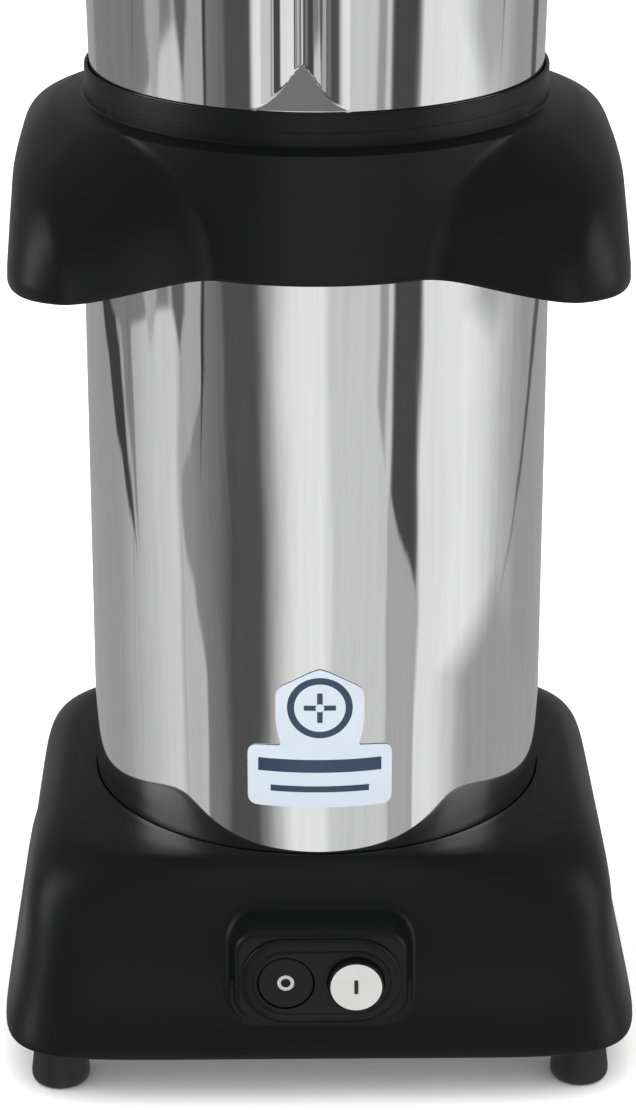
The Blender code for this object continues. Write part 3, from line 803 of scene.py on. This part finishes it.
BEZEL_Z = (bezel_low.z + bezel_high.z) / 2
NECK = (44.0, 24.0)
boolean(base, prism("opening", stadium(NECK[0] + 0.8, NECK[1] + 0.8), -108, -90, BEZEL_Z), "DIFFERENCE")
boolean(base, prism("pocket", [(25, -13), (25, 13), (-25, 13), (-25, -13)], -96, -70, BEZEL_Z), "DIFFERENCE")
boolean(base, spun("inlet_hole", [(0, 115, 0), (7.3, 115, 0), (7.3, 80, 0), (0, 80, 0)], 48,
                   at=(0, 0, INLET_Z), outward=1), "DIFFERENCE")
finish_piece(base, "moulding", "root", ["base_shell"], crease=38)
print("base finished,", len(base.data.polygons), "faces")

# %% [markdown]
# ## The motor sleeve
#
# The sleeve is a rolled steel sheet. It is modelled as a plain spun tube whose edges are eased a little, and
# its seam is left out. Its waves and lines come from the finish.

# %% Sleeve


def build_sleeve():
    wall = 1.0
    corners = [(SLEEVE_R, sleeve_high.z, 0.3), (SLEEVE_R, sleeve_low.z, 0.3),
               (SLEEVE_R - wall, sleeve_low.z, 0.3), (SLEEVE_R - wall, sleeve_high.z, 0.3)]
    tube = spun("motor_sleeve_sheet", corners, 256)
    return finish_piece(tube, "sleeve_steel", "root", ["motor_sleeve"])


sleeve = build_sleeve()
print("sleeve", len(sleeve.data.vertices), "points")

# %% [markdown]
# ## The collar
#
# The collar caps the motor. At its top a round ring takes the jar. Below the ring it hugs the sleeve at
# the front and back and swells into four drooping corners, which a cook can hold to lift the machine. The
# hugging face and the corners are two radii, and a smooth step over the azimuth goes from one to the
# other. Higher up the step is wider and starts later, so the corners melt into the ring.

# %% Collar levels
# height, half width, half depth, squareness, azimuths where a corner starts and is full
COLLAR_LEVELS = (
    (308.4, 81.5, 79.0, 2.0, 42.0, 66.0),
    (306.8, 87.0, 81.5, 2.05, 39.0, 62.0),
    (301.0, 93.4, 87.0, 2.8, 34.0, 55.0),
    (294.0, 96.2, 90.0, 3.9, 29.0, 49.0),
    (286.0, 96.6, 92.0, 5.2, 25.5, 44.5),
    (277.0, 96.9, 93.0, 6.6, 23.5, 42.0),
    (269.5, 97.3, 93.3, 7.6, 23.0, 41.0),
)
HUG_R = 80.9
COLLAR_WALL = 3.0


def collar_section(row, inset=0.0, least=0.0):
    def radius(azimuth):
        corner = square_radius(azimuth, row[1], row[2], row[3])
        swell = step_up(row[4], row[5], folded(azimuth))
        return max(HUG_R + (corner - HUG_R) * swell - inset, least)
    return radius


def lower_edge(rise):
    """Height of the lower edge, which hangs a little at the corners."""
    return lambda azimuth: COLLAR_EDGE - 2.5 * step_up(28, 42, folded(azimuth)) + rise


def build_collar_skin():
    root, ring_r, lip_r, bore = 76.2, 75.1, 74.8, 73.6
    deck_top, deck_under, seal = 303.5, 299.0, 16.3
    inner = SLEEVE_R + 0.5
    rings = [
        ring_at(AZIMUTHS, seal, deck_under),
        ring_at(AZIMUTHS, seal, deck_top),
        ring_at(AZIMUTHS, bore, deck_top),
        ring_at(AZIMUTHS, bore, RING_TOP - 0.3),
        ring_at(AZIMUTHS, bore + 0.3, RING_TOP),
        ring_at(AZIMUTHS, lip_r - 0.5, RING_TOP),
        ring_at(AZIMUTHS, lip_r - 0.1, RING_TOP - 0.25),
        ring_at(AZIMUTHS, lip_r, RING_TOP - 0.7),
        ring_at(AZIMUTHS, lip_r, 314.6),
        ring_at(AZIMUTHS, lip_r + 0.05, 314.3),
        ring_at(AZIMUTHS, ring_r - 0.05, 314.1),
        ring_at(AZIMUTHS, ring_r, 313.8),
        ring_at(AZIMUTHS, ring_r, 310.2),
        ring_at(AZIMUTHS, ring_r + 0.25, 309.8),
        ring_at(AZIMUTHS, root, 309.5),
        ring_at(AZIMUTHS, root + 1.6, 309.3),
    ]
    for row in flowing(COLLAR_LEVELS, 7):
        rings.append(ring_at(AZIMUTHS, collar_section(row), row[0]))
    last = COLLAR_LEVELS[-1]
    for inset, rise in ((-0.15, 1.0), (0.1, 0.5), (0.5, 0.12), (1.1, 0.0)):
        rings.append(ring_at(AZIMUTHS, collar_section(last, inset), lower_edge(rise)))
    rings.append(ring_at(AZIMUTHS, collar_section(last, COLLAR_WALL, inner), lower_edge(0.0)))
    for row in reversed(COLLAR_LEVELS[3:6]):
        rings.append(ring_at(AZIMUTHS, collar_section(row, COLLAR_WALL, inner), row[0]))
    rings.append(ring_at(AZIMUTHS, collar_section(COLLAR_LEVELS[2], COLLAR_WALL + 3, inner), deck_under))
    return skin("collar_skin", rings)


collar = finish_piece(build_collar_skin(), "moulding", "root", ["collar"], crease=32)
print("collar", len(collar.data.vertices), "points")

# %% [markdown]
# ## The jar
#
# The jar is drawn from sheet steel with three pressed V flutes that throw the food back to the blades.
# Its foot stays round so that it seats in the ring. A flute starts just above the foot with a sloping
# triangular facet and fades out below the rim. The depth of a flute at a place is the lesser of the V
# across it and the slope of the facet, so the crease between them comes out by itself.

# %% Jar wall
FLUTE_AZIMUTHS = (-4.5, 115.5, 235.5)
FLUTE_HALF_WIDTH = 10.9
FLUTE_DEPTH = 8.3
FLUTE_START, FLUTE_FULL = 320.5, 333.6
FLUTE_FADE = (490.0, 514.0)
JAR_WALL = 1.2
JAR_FLOOR = 330.0


def jar_plain(height):
    return 72.95 + 0.02 * (height - JAR_FOOT)


def jar_azimuths():
    """Azimuths round the jar, crowded across the flutes."""
    half = math.degrees(FLUTE_HALF_WIDTH * 1.55 / 73.0)
    angles = []
    for centre in FLUTE_AZIMUTHS:
        angles += [centre + half * math.copysign((abs(i) / 28) ** 1.2, i) for i in range(-28, 28)]
        angles += [centre + half + (120 - 2 * half) * i / 40 for i in range(40)]
    return angles


def flute_shape(across):
    """Depth of a flute, 1 in its valley and 0 outside, for a distance in half widths."""
    valley, shoulder = 0.08, 0.5
    if across < valley:
        return 1 - valley / 2 - across * across / (2 * valley)
    if across > 1 - shoulder:
        left = max(1 + shoulder - across, 0.0)
        return left * left / (4 * shoulder)
    return 1 - across


def jar_section(height, inset=0.0):
    plain = jar_plain(height)
    rise = min(max((height - FLUTE_START) / (FLUTE_FULL - FLUTE_START), 0.0), 1.0)
    strength = FLUTE_DEPTH * (1 - step_up(*FLUTE_FADE, height))

    def radius(azimuth):
        offset = min(abs((azimuth - centre + 180) % 360 - 180) for centre in FLUTE_AZIMUTHS)
        across = math.radians(offset) * plain / FLUTE_HALF_WIDTH
        return plain - strength * min(flute_shape(across), rise) - inset
    return radius


def build_jar_skin():
    azimuths = jar_azimuths()
    rim = jar_plain(JAR_TOP) - 0.4
    roll = ((-1.4, 0.6), (-1.0, 0.15), (0.0, 0.02), (1.2, 0.1), (1.9, 0.7), (2.2, 1.6), (2.0, 2.7),
            (1.2, 3.4), (0.1, 3.7))
    rings = [ring_at(azimuths, rim + out, JAR_TOP - down) for out, down in roll]
    fade = [514.0 - 3.0 * i for i in range(9)]
    facet = [FLUTE_FULL - (FLUTE_FULL - FLUTE_START) * i / 28 for i in range(29)]
    outer = [522.0] + fade + [450.0, 400.0, 360.0, 340.0] + facet + [319.0, 312.0, JAR_FOOT + 0.3]
    inner = [JAR_FLOOR + JAR_WALL + 0.4] + [z for z in reversed(facet) if z > JAR_FLOOR + 1.8]
    inner += [340.0, 360.0, 400.0, 450.0] + list(reversed(fade)) + [522.0]
    rings += [ring_at(azimuths, jar_section(z), z) for z in outer]
    rings.append(ring_at(azimuths, jar_section(JAR_FOOT, 0.4), JAR_FOOT))
    rings.append(ring_at(azimuths, jar_section(JAR_FOOT, JAR_WALL), JAR_FOOT + 0.2))
    rings += [ring_at(azimuths, jar_section(z, JAR_WALL), z) for z in reversed(facet) if z < JAR_FLOOR - 0.5]
    rings.append(ring_at(azimuths, jar_section(JAR_FLOOR, JAR_WALL), JAR_FLOOR))
    rings.append(ring_at(azimuths, 13.0, JAR_FLOOR))
    rings.append(ring_at(azimuths, 13.0, JAR_FLOOR + JAR_WALL))
    rings += [ring_at(azimuths, jar_section(z, JAR_WALL), z) for z in inner]
    return skin("jar_sheet", rings)


jar = finish_piece(build_jar_skin(), "jar_steel", "jar", ["jar_shell"], crease=24)
print("jar", len(jar.data.vertices), "points")

# %% [markdown]
# ## The feet
#
# Each foot is a moulded rubber stud: a short neck under the base, a belly that bulges a little under the
# machine's weight, and a flat ring to stand on, with the screw sunk in its middle. All four are the same
# spun profile, placed where the frame has them.

# %% Feet
FOOT_PROFILE = (
    (8.7, foot_high.z, 0.3), (8.8, 7.0, 2.0), (9.2, 3.6, 2.0), (9.68, 0.2, 1.6), (9.5, -2.0, 1.2),
    (8.2, -STAND, 1.4), (5.2, -STAND, 0.4), (5.2, 4.2, 0.2), (2.4, 4.2, 0.2), (2.4, foot_high.z, 0.2),
)
for end in ("front", "rear"):
    for side in ("left", "right"):
        node = "foot_%s_%s" % (end, side)
        low, high = box_of(node)
        centre = ((low.x + high.x) / 2, (low.y + high.y) / 2, 0)
        foot = spun(node + "_rubber", FOOT_PROFILE, 64, at=centre)
        finish_piece(foot, "foot_rubber", "root", [node], crease=50)
print("four feet")

# %% [markdown]
# ## The switch
#
# A domed bezel with round ends clips over the opening in the pod. Its rim is low and slopes up to a flat
# plateau, and the two buttons stand in wells through it. The stop button is black, pressed in and marked
# with a ring. The start button is white, stands out and is marked with a bar.

# %% Bezel
BEZEL_SIZE = (bezel_high.x - bezel_low.x, bezel_high.z - bezel_low.z)
BUTTON_R = (stop_high.x - stop_low.x) / 2
BUTTON_Z = (stop_low.z + stop_high.z) / 2
STOP_X = (stop_low.x + stop_high.x) / 2
START_X = (start_low.x + start_high.x) / 2


def build_bezel():
    rows = ((-3.8, -7.8), (-3.8, 0.0), (-0.3, 0.0), (0.0, 0.25), (0.0, 0.7), (-0.25, 1.05), (-0.8, 1.3),
            (-2.4, 1.75), (-3.3, 1.9), (-3.55, 1.75), (-3.75, 1.75), (-3.95, 2.0), (-4.3, BEZEL_DOME),
            (-9.0, BEZEL_DOME))
    rings = []
    for grow, rise in rows:
        outline = stadium(BEZEL_SIZE[0] + 2 * grow, BEZEL_SIZE[1] + 2 * grow, 28)
        rings.append([(x, -POD_FACE - rise, BEZEL_Z + z) for x, z in outline])
    piece = skin("switch_bezel_cover", rings, closed=False)
    for x in (STOP_X, START_X):
        well = spun("well", [(0, 110, 0), (BUTTON_R + 0.3, 110, 0), (BUTTON_R + 0.3, 85, 0), (0, 85, 0)], 72,
                    at=(x, 0, BUTTON_Z), outward=-1)
        boolean(piece, well, "DIFFERENCE")
    return finish_piece(piece, "moulding", "root", ["switch_bezel"], crease=35)


bezel = build_bezel()
print("bezel", [round(value, 1) for value in BEZEL_SIZE], "mm,", len(bezel.data.polygons), "faces")

# %% [markdown]
# ## The buttons
#
# Both buttons are short moulded posts with a dished face, so a fingertip finds the middle. They are spun
# round the axis that they slide along. The start button's face is a separate white disc set into it, and
# its body takes the black moulding finish: the black sides round the white face are painted shade, standing
# for the shadow in the gap above the button.

# %% Buttons


def button_body(name, low, high, body, node):
    front, back = -low.y, -high.y
    r = BUTTON_R
    corners = [(0, front - 0.35, 0), (r * 0.62, front - 0.22, 2.0), (r - 1.1, front - 0.02, 0.5),
               (r - 0.1, front - 0.1, 0.7), (r, front - 1.0, 0.5), (r, back, 0.4), (0, back, 0)]
    centre = ((low.x + high.x) / 2, 0, (low.z + high.z) / 2)
    piece = spun(name, corners, 96, at=centre, outward=-1, steps=6)
    return finish_piece(piece, "moulding", body, [node], crease=50)


def button_face():
    """White cap set into the front of the start button."""
    front = -start_low.y
    r = BUTTON_R - 0.15
    corners = [(0, front - 0.28, 0), (r * 0.62, front - 0.16, 2.0), (r - 0.5, front, 0.5),
               (r, front - 0.4, 0.4), (r, front - 0.8, 0), (0, front - 0.8, 0)]
    piece = spun("start_button_face", corners, 96, at=(START_X, 0, BUTTON_Z), outward=-1, steps=6)
    return finish_piece(piece, "white_button", "on_button", crease=50)


button_body("stop_button", stop_low, stop_high, "off_button", "button_off")
# the start button's body is black moulding: painted shade for the shadow round its white face
button_body("start_button", start_low, start_high, "on_button", "button_on")
button_face()
print("buttons at", round(STOP_X, 1), "and", round(START_X, 1), "mm")

# %% [markdown]
# ## Marks on the buttons
#
# The marks are inlaid: a pale ring on the stop button and a dark bar on the start button. Each is a thin
# slip that stands less than a fifth of a millimetre proud of its dished face, so it shows in the mesh but
# hardly catches light of its own.

# %% Marks


def build_marks():
    face = -stop_low.y - 0.34
    ring = spun("stop_mark", [(2.75, face + 0.08, 0.02), (2.75, face - 0.3, 0), (1.6, face - 0.3, 0),
                              (1.6, face + 0.08, 0.02)], 48, at=(STOP_X, 0, BUTTON_Z), outward=-1)
    finish_piece(ring, "mark_pale", "off_button")
    face = -start_low.y
    outline = rounded_rectangle(0.65, 2.5, 0.35, 4)
    rows = [[(START_X + x, -y, BUTTON_Z + z) for x, z in outline] for y in (face - 0.6, face - 0.12)]
    bar = skin("start_mark", rows, closed=False)
    finish_piece(bar, "mark_dark", "on_button")


build_marks()
print("marks")

# %% [markdown]
# ## The label
#
# The label is a die-cut vinyl sheet with a tab on top. It is cut flat and then wrapped: each point keeps
# its height and its distance along the sleeve becomes an angle. A grid of short steps across it lets it
# bend smoothly.

# %% Label
LABEL_FOOT, LABEL_TOP = 90.1, 138.6


def label_rows():
    """Half width and height of the label's edge, from its foot to its top: a plate with a six-sided tab."""
    half = [(0.5, LABEL_FOOT, 0), (23.8, LABEL_FOOT, 3.6), (23.8, 111.2, 3.2), (12.6, 111.9, 1.0),
            (14.4, 119.0, 3.0), (14.4, 131.6, 3.0), (3.2, LABEL_TOP - 1.0, 2.6), (0.5, LABEL_TOP, 0)]
    return rounded(half, 6)


def label_side(bm, radius, columns):
    """Grid of points for one side of the label, wrapped round the sleeve."""
    rows = []
    for half, height in label_rows():
        angles = [(2 * i / columns - 1) * half / radius for i in range(columns + 1)]
        spots = [Vector((radius * math.sin(a), -radius * math.cos(a), height)) for a in angles]
        rows.append([bm.verts.new(spot * MM) for spot in spots])
    for near, far in zip(rows, rows[1:]):
        for i in range(columns):
            bm.faces.new((near[i], near[i + 1], far[i + 1], far[i]))
    return rows[0] + [row[-1] for row in rows[1:]] + rows[-1][-2::-1] + [row[0] for row in rows[-2:0:-1]]


def build_label():
    bm = bmesh.new()
    outside = label_side(bm, SLEEVE_R + 0.6, 28)
    inside = label_side(bm, SLEEVE_R + 0.32, 28)
    for i in range(len(outside)):
        j = (i + 1) % len(outside)
        bm.faces.new((outside[i], outside[j], inside[j], inside[i]))
    return finish_piece(link_mesh("label_vinyl", bm), "label", "root", ["badge"])


build_label()
print("label", round(LABEL_TOP - LABEL_FOOT, 1), "mm tall")

# %% [markdown]
# ## The cord grommet
#
# The grommet is a soft rubber bush. A ribbed flange seats on the inlet pod and its neck goes through the
# wall. The hole in the middle is open, because no lead is fitted.

# %% Grommet


def build_grommet():
    out, seat, back = inlet_high.y, INLET_FACE + 0.3, inlet_low.y
    corners = [(6.0, out, 0.6), (8.6, out - 0.1, 1.2), (10.4, seat + 1.3, 0.8), (10.4, seat, 0.3),
               (7.0, seat, 0.2), (7.0, back, 0.5), (3.6, back, 0.3), (3.6, out - 1.2, 0.4), (4.6, out, 0.5)]
    piece = spun("grommet_rubber", corners, 72, at=(0, 0, INLET_Z), outward=1)
    return finish_piece(piece, "foot_rubber", "root", ["cord_grommet"], crease=50)


grommet = build_grommet()
print("grommet", len(grommet.data.vertices), "points")

# %% [markdown]
# ## The lid and its cap
#
# The lid is a thick rubber plug with a rim that laps over the jar. Ribs run round its top so that wet
# hands don't slip. The cap fills the hole in the middle, through which a cook adds food while the machine
# runs. Both are spun profiles with softened corners.

# %% Lid and cap


def build_lid():
    seat = JAR_TOP + 0.35
    top = lid_high.z
    edge = lid_high.x
    corners = [
        (edge - 2.8, top - 1.0, 2.0), (edge - 0.1, top - 3.6, 1.4), (edge, seat + 2.4, 0.8),
        (edge - 0.7, seat, 0.4), (75.0, seat, 0.6), (74.6, seat - 8, 1.5), (73.9, lid_low.z, 1.0),
        (70.2, lid_low.z, 0.8),
        (70.0, seat + 1.9, 1.5), (30.0, seat + 1.9, 1.5), (29.6, seat - 5.8, 0.8), (24.6, seat - 5.8, 0.6),
        (24.4, top, 0.6), (31.0, top, 1.2), (33.5, top - 1.0, 1.2),
    ]
    for k in range(3):
        r = 44.0 + 9.0 * k
        rib = ((0, 1.0), (0.6, 1.9), (1.6, 1.9), (2.2, 1.0))
        corners += [(r + out, top - down, 0.6) for out, down in rib]
    piece = spun("lid_rubber_plug", corners, 192)
    return finish_piece(piece, "lid_rubber", "lid", ["jar_lid"], crease=50)


def build_cap():
    rest = lid_high.z + 0.3
    top = cap_high.z
    corners = [(0, top - 0.5, 0), (8.0, top - 0.35, 3.0), (11.6, top, 1.0), (13.0, top - 1.6, 1.2),
               (11.6, rest + 5.0, 2.0), (13.5, rest + 2.6, 2.5), (25.5, rest + 2.2, 1.4),
               (28.4, rest + 1.0, 0.8), (28.2, rest, 0.4), (23.9, rest, 0.5), (23.5, cap_low.z + 1.0, 1.0),
               (21.5, cap_low.z, 0.8), (20.0, cap_low.z, 0.8), (19.6, rest - 2.0, 1.5), (0, rest - 2.0, 0)]
    piece = spun("lid_cap_moulding", corners, 128)
    return finish_piece(piece, "moulding", "cap", ["lid_cap"], crease=50)


lid = build_lid()
cap = build_cap()
print("lid and cap", len(lid.data.vertices), "and", len(cap.data.vertices), "points")

# %% [markdown]
# ## The jar handle
#
# The handle is a thick moulded bar bent like a C and screwed to two steel pads on the jar. Its section is
# wider than it is deep, so it doesn't roll in the hand, and it thins towards the pads. The bar is swept:
# at each place along the bent line a rounded section is set square to the line.

# %% Handle
HANDLE_AZIMUTH = 55.5
HANDLE_LOW, HANDLE_HIGH = 388.0, 503.0
HANDLE_REACH = 118.0
HANDLE_BEND = 18.0


def handle_line():
    """Places along the bar as reach and height, with the direction that the bar runs in."""
    low_end, high_end = 81.0, 83.4
    straight = HANDLE_REACH - HANDLE_BEND
    rise = HANDLE_HIGH - HANDLE_LOW - 2 * HANDLE_BEND
    turns = [math.radians(90 * k / 16) for k in range(17)]
    line = [((low_end + (straight - low_end) * k / 8, HANDLE_LOW), (1, 0)) for k in range(8)]
    for a in turns:
        place = (straight + HANDLE_BEND * math.sin(a), HANDLE_LOW + HANDLE_BEND * (1 - math.cos(a)))
        line.append((place, (math.cos(a), math.sin(a))))
    line += [((HANDLE_REACH, HANDLE_LOW + HANDLE_BEND + rise * k / 24), (0, 1)) for k in range(1, 24)]
    for a in turns:
        place = (straight + HANDLE_BEND * math.cos(a), HANDLE_HIGH - HANDLE_BEND * (1 - math.sin(a)))
        line.append((place, (-math.sin(a), math.cos(a))))
    line += [((straight + (high_end - straight) * k / 8, HANDLE_HIGH), (-1, 0)) for k in range(1, 9)]
    return line


def build_handle():
    turn = math.radians(HANDLE_AZIMUTH)
    out = (math.sin(turn), -math.cos(turn))
    side = (math.cos(turn), math.sin(turn))
    rings = []
    for (reach, height), (along_r, along_z) in handle_line():
        grip = 0.0
        if reach > HANDLE_REACH - 1:
            grip = step_up(400, 425, height) * (1 - step_up(466, 491, height))
        thick, wide = 7.0 + 0.5 * grip, 8.0
        ring = []
        for i in range(40):
            a = 2 * math.pi * i / 40
            c, s = math.cos(a), math.sin(a)
            deep = thick * math.copysign(abs(c) ** 0.8, c)
            across = wide * math.copysign(abs(s) ** 0.8, s)
            r = reach + deep * along_z
            z = height - deep * along_r
            ring.append((out[0] * r + side[0] * across, out[1] * r + side[1] * across, z))
        rings.append(ring)
    piece = skin("handle_bar", rings, closed=False)
    return finish_piece(piece, "moulding", "jar", ["jar_handle"], crease=50)


handle = build_handle()
print("handle", len(handle.data.vertices), "points")

# %% [markdown]
# ## Finishes for the solids that stay
#
# The pieces inside the motor, the screws, nuts, blades and gaskets are right as they are. Each keeps its
# solid and takes the finish of its material from the record.

# %% Dress the remaining solids
SLOT_FINISH = {"polished_steel": "jar_steel", "rubber": "foot_rubber", "badge": "label"}
for part in frame["record"]["subparts"]:
    solid = frame["nodes"][part["node"]]
    solid.data.materials.clear()
    slot = part["material_slot"]
    solid.data.materials.append(FINISHES[SLOT_FINISH.get(slot, slot)])
print(len(frame["nodes"]), "solids dressed")

# %% [markdown]
# ## The studio
#
# Polished steel has no look of its own: it shows the room. A product studio stands white panels round it
# and leaves dark gaps between them, which gives the tall bright and dark streaks. Here the room is the
# world: its brightness changes with the compass direction, in the order of the panels, and only mirror rays
# see them. Matt surfaces see a plain dome, dark at the horizon and bright overhead, so the floor stays pale
# and the shadow under the machine is soft. The camera sees a plain bright background.

# %% World
# compass direction seen from the blender (0 is the camera's side, 90 its right) and panel brightness
PANELS = (
    (-180, 0.40), (-120, 0.40), (-100, 0.60), (-85, 0.75), (-75, 0.80), (-70, 0.35), (-50, 0.20), (-45, 0.10),
    (-30, 0.10), (-20, 0.65), (-13, 1.00), (2, 1.05), (7, 0.75), (35, 0.75), (37, 0.08), (49, 0.08),
    (52, 0.95), (80, 1.05), (92, 0.90), (105, 0.60), (120, 0.40), (180, 0.40),
)
# leaning strips: direction, height and half width of the upper end, the same of the lower end, brightness and
# the width of the soft edge
STRIPS = (
    (-110, -0.27, 4.5, -102, -0.38, 0.0, 0.28, 1.0),
    (-124, -0.27, 8.0, -103, -0.38, 0.0, 0.06, 1.5),
    (-64, -0.28, 7.0, -73, -0.34, 0.0, 0.50, 1.2),
    (-72, -0.34, 0.0, -65, -0.43, 7.0, 0.62, 1.5),
    (-57, -0.27, 1.5, -62, -0.35, 0.0, 0.05, 1.0),
    (-48, -0.30, 1.0, -44, -0.38, 0.0, 0.20, 1.0),
    (35, -0.325, 0.0, 43, -0.39, 8.5, 0.50, 1.5),
    (31, -0.28, 2.5, 34, -0.33, 0.0, 0.42, 1.5),
    (141, -0.27, 4.5, 105, -0.395, 0.4, 0.12, 2.0),
    (105, -0.370, 0.0, 105, -0.43, 44.0, 0.42, 20.0),
    (-112, -0.245, 38.0, -112, -0.275, 0.0, 0.26, 5.0),
    (-90, -0.245, 7.0, -90, -0.275, 0.0, 0.50, 3.0),
    (-72, -0.245, 5.0, -72, -0.27, 0.0, 0.15, 2.0),
    (-103, -0.22, 1.2, -108, -0.255, 0.3, 0.07, 1.0),
    (95, -0.245, 22.0, 95, -0.275, 0.0, 0.52, 16.0),
    (105, -0.22, 1.6, 103, -0.26, 0.3, 0.16, 1.0),
)


def leaning_strips(room, compass, up, colour):
    """Lay the leaning strips over the panels' brightness."""
    for start, start_up, start_half, end, end_up, end_half, level, soft in STRIPS:
        along = room.add("ShaderNodeMapRange", {}, {0: up, 1: start_up, 2: end_up})
        centre = math.radians(start) + along * math.radians(end - start)
        half = math.radians(start_half) + along * math.radians(end_half - start_half)
        inside = (half - abs(compass - centre)) / math.radians(soft)
        amount = room.add("ShaderNodeMath", {"operation": "MULTIPLY", "use_clamp": True}, {0: inside, 1: 1.0})
        colour = room.mix(amount, colour, (level, level, level))
    return colour


def build_world():
    world = bpy.data.worlds.new("studio")
    bpy.context.scene.world = world
    world.use_nodes = True
    room = Graph(world.node_tree)
    background = room.tree.nodes["Background"]
    direction = room.add("ShaderNodeTexCoord", out="Generated")
    split = room.add("ShaderNodeSeparateXYZ", sockets={0: direction}).socket.node
    east, north, up = [Wire(room, output) for output in split.outputs]
    ripple = room.add("ShaderNodeTexNoise", {}, {"Vector": direction, "Scale": 7.0, "Detail": 2.0})
    compass = east.maths("ARCTAN2", east, 0.0 - north) + ripple * 0.13 - 0.065
    stops = [(azimuth / 360 + 0.5, level) for azimuth, level in PANELS]
    panels = room.add("ShaderNodeValToRGB", {"stops": stops}, {0: compass / (2 * math.pi) + 0.5})
    panels = leaning_strips(room, compass, up, panels)
    fine = room.add("ShaderNodeCombineXYZ", {}, {0: compass * 14, 1: up * 5})
    streaks = room.add("ShaderNodeTexNoise", {}, {"Vector": fine, "Scale": 1.0, "Detail": 3.0})
    streaks = 0.89 + streaks * 0.21
    panels = room.add("ShaderNodeVectorMath", {"operation": "SCALE"}, {0: panels, "Scale": streaks})
    ceiling = room.add("ShaderNodeMapRange", {"interpolation_type": "SMOOTHSTEP"}, {0: up, 1: 0.05, 2: 0.45})
    mirrored = room.mix(ceiling, panels, (0.22, 0.22, 0.22))
    dome = room.add("ShaderNodeMapRange", {}, {0: up, 1: 0.0, 2: 1.0, 3: 0.1, 4: 2.35})
    path = room.add("ShaderNodeLightPath").socket.node
    tent = room.mix(Wire(room, path.outputs["Is Diffuse Ray"]), (1.2, 1.2, 1.2), dome)
    seen = room.mix(Wire(room, path.outputs["Is Glossy Ray"]), tent, mirrored)
    room.feed(background.inputs["Color"], seen)


build_world()
print(len(PANELS), "panel edges and", len(STRIPS), "strips")

# %% [markdown]
# ## Floor
#
# The floor is a wide pale sheet. It is hidden from mirror reflections, so the sleeve shows the panels and
# not the floor.

# %% Floor


def build_floor():
    bm = bmesh.new()
    ground = Matrix.Translation((0, 0, -STAND * MM))
    bmesh.ops.create_grid(bm, x_segments=2, y_segments=2, size=6.0, matrix=ground)
    floor = link_mesh("studio_floor", bm)
    finish = Finish("floor_paper")
    tone = finish.noise(300, detail=1.0)
    finish.set(Base_Color=finish.mix(tone, (0.93, 0.93, 0.93), (0.95, 0.95, 0.95)), Roughness=0.9)
    floor.data.materials.append(finish.material)
    floor.visible_glossy = False


build_floor()
print("floor")

# %% [markdown]
# ## Side lights
#
# Satin plastic shows its form by the soft highlights along its corners. Two wide, weak panel lights low at
# the left and right give them.

# %% Side lights


def build_side_light(name, azimuth, elevation, distance, size, power):
    """Soft panel light that looks at the base from a compass direction."""
    light = bpy.data.lights.new(name, "AREA")
    light.shape = "RECTANGLE"
    light.size, light.size_y = size
    light.energy = power
    obj = bpy.data.objects.new(name, light)
    a, e = math.radians(azimuth), math.radians(elevation)
    aim = Vector((math.sin(a) * math.cos(e), -math.cos(a) * math.cos(e), math.sin(e)))
    obj.location = aim * distance + Vector((0, 0, 0.1))
    obj.rotation_euler = aim.to_track_quat("Z", "Y").to_euler()
    bpy.context.scene.collection.objects.link(obj)


build_side_light("left_light", -83, 20, 1.3, (0.7, 0.7), 4.5)
build_side_light("right_light", 80, 20, 1.3, (0.7, 0.7), 3.0)
print("side lights")

# %% [markdown]
# ## Camera
#
# The camera stands a little over a metre in front, above the machine, and looks down with a long lens, so
# the sides stay nearly parallel.

# %% Camera
CAMERA_DISTANCE = 1.068
CAMERA_HEIGHT = 0.5714
CAMERA_PITCH = 21.46
CAMERA_TURN = -0.75
CAMERA_OFF_AXIS = 0.0004
CAMERA_LENS = 109.4


def build_camera():
    camera = bpy.data.cameras.new("camera")
    camera.sensor_fit = "VERTICAL"
    camera.sensor_height = 36.0
    camera.lens = CAMERA_LENS
    obj = bpy.data.objects.new("camera", camera)
    turn = math.radians(CAMERA_TURN)
    obj.location = (CAMERA_DISTANCE * math.sin(turn), -CAMERA_DISTANCE * math.cos(turn), CAMERA_HEIGHT)
    obj.rotation_euler = (math.radians(90 - CAMERA_PITCH), 0, turn - CAMERA_OFF_AXIS)
    bpy.context.scene.collection.objects.link(obj)
    bpy.context.scene.camera = obj


build_camera()
bpy.context.scene.view_settings.view_transform = "Standard"
print("camera")
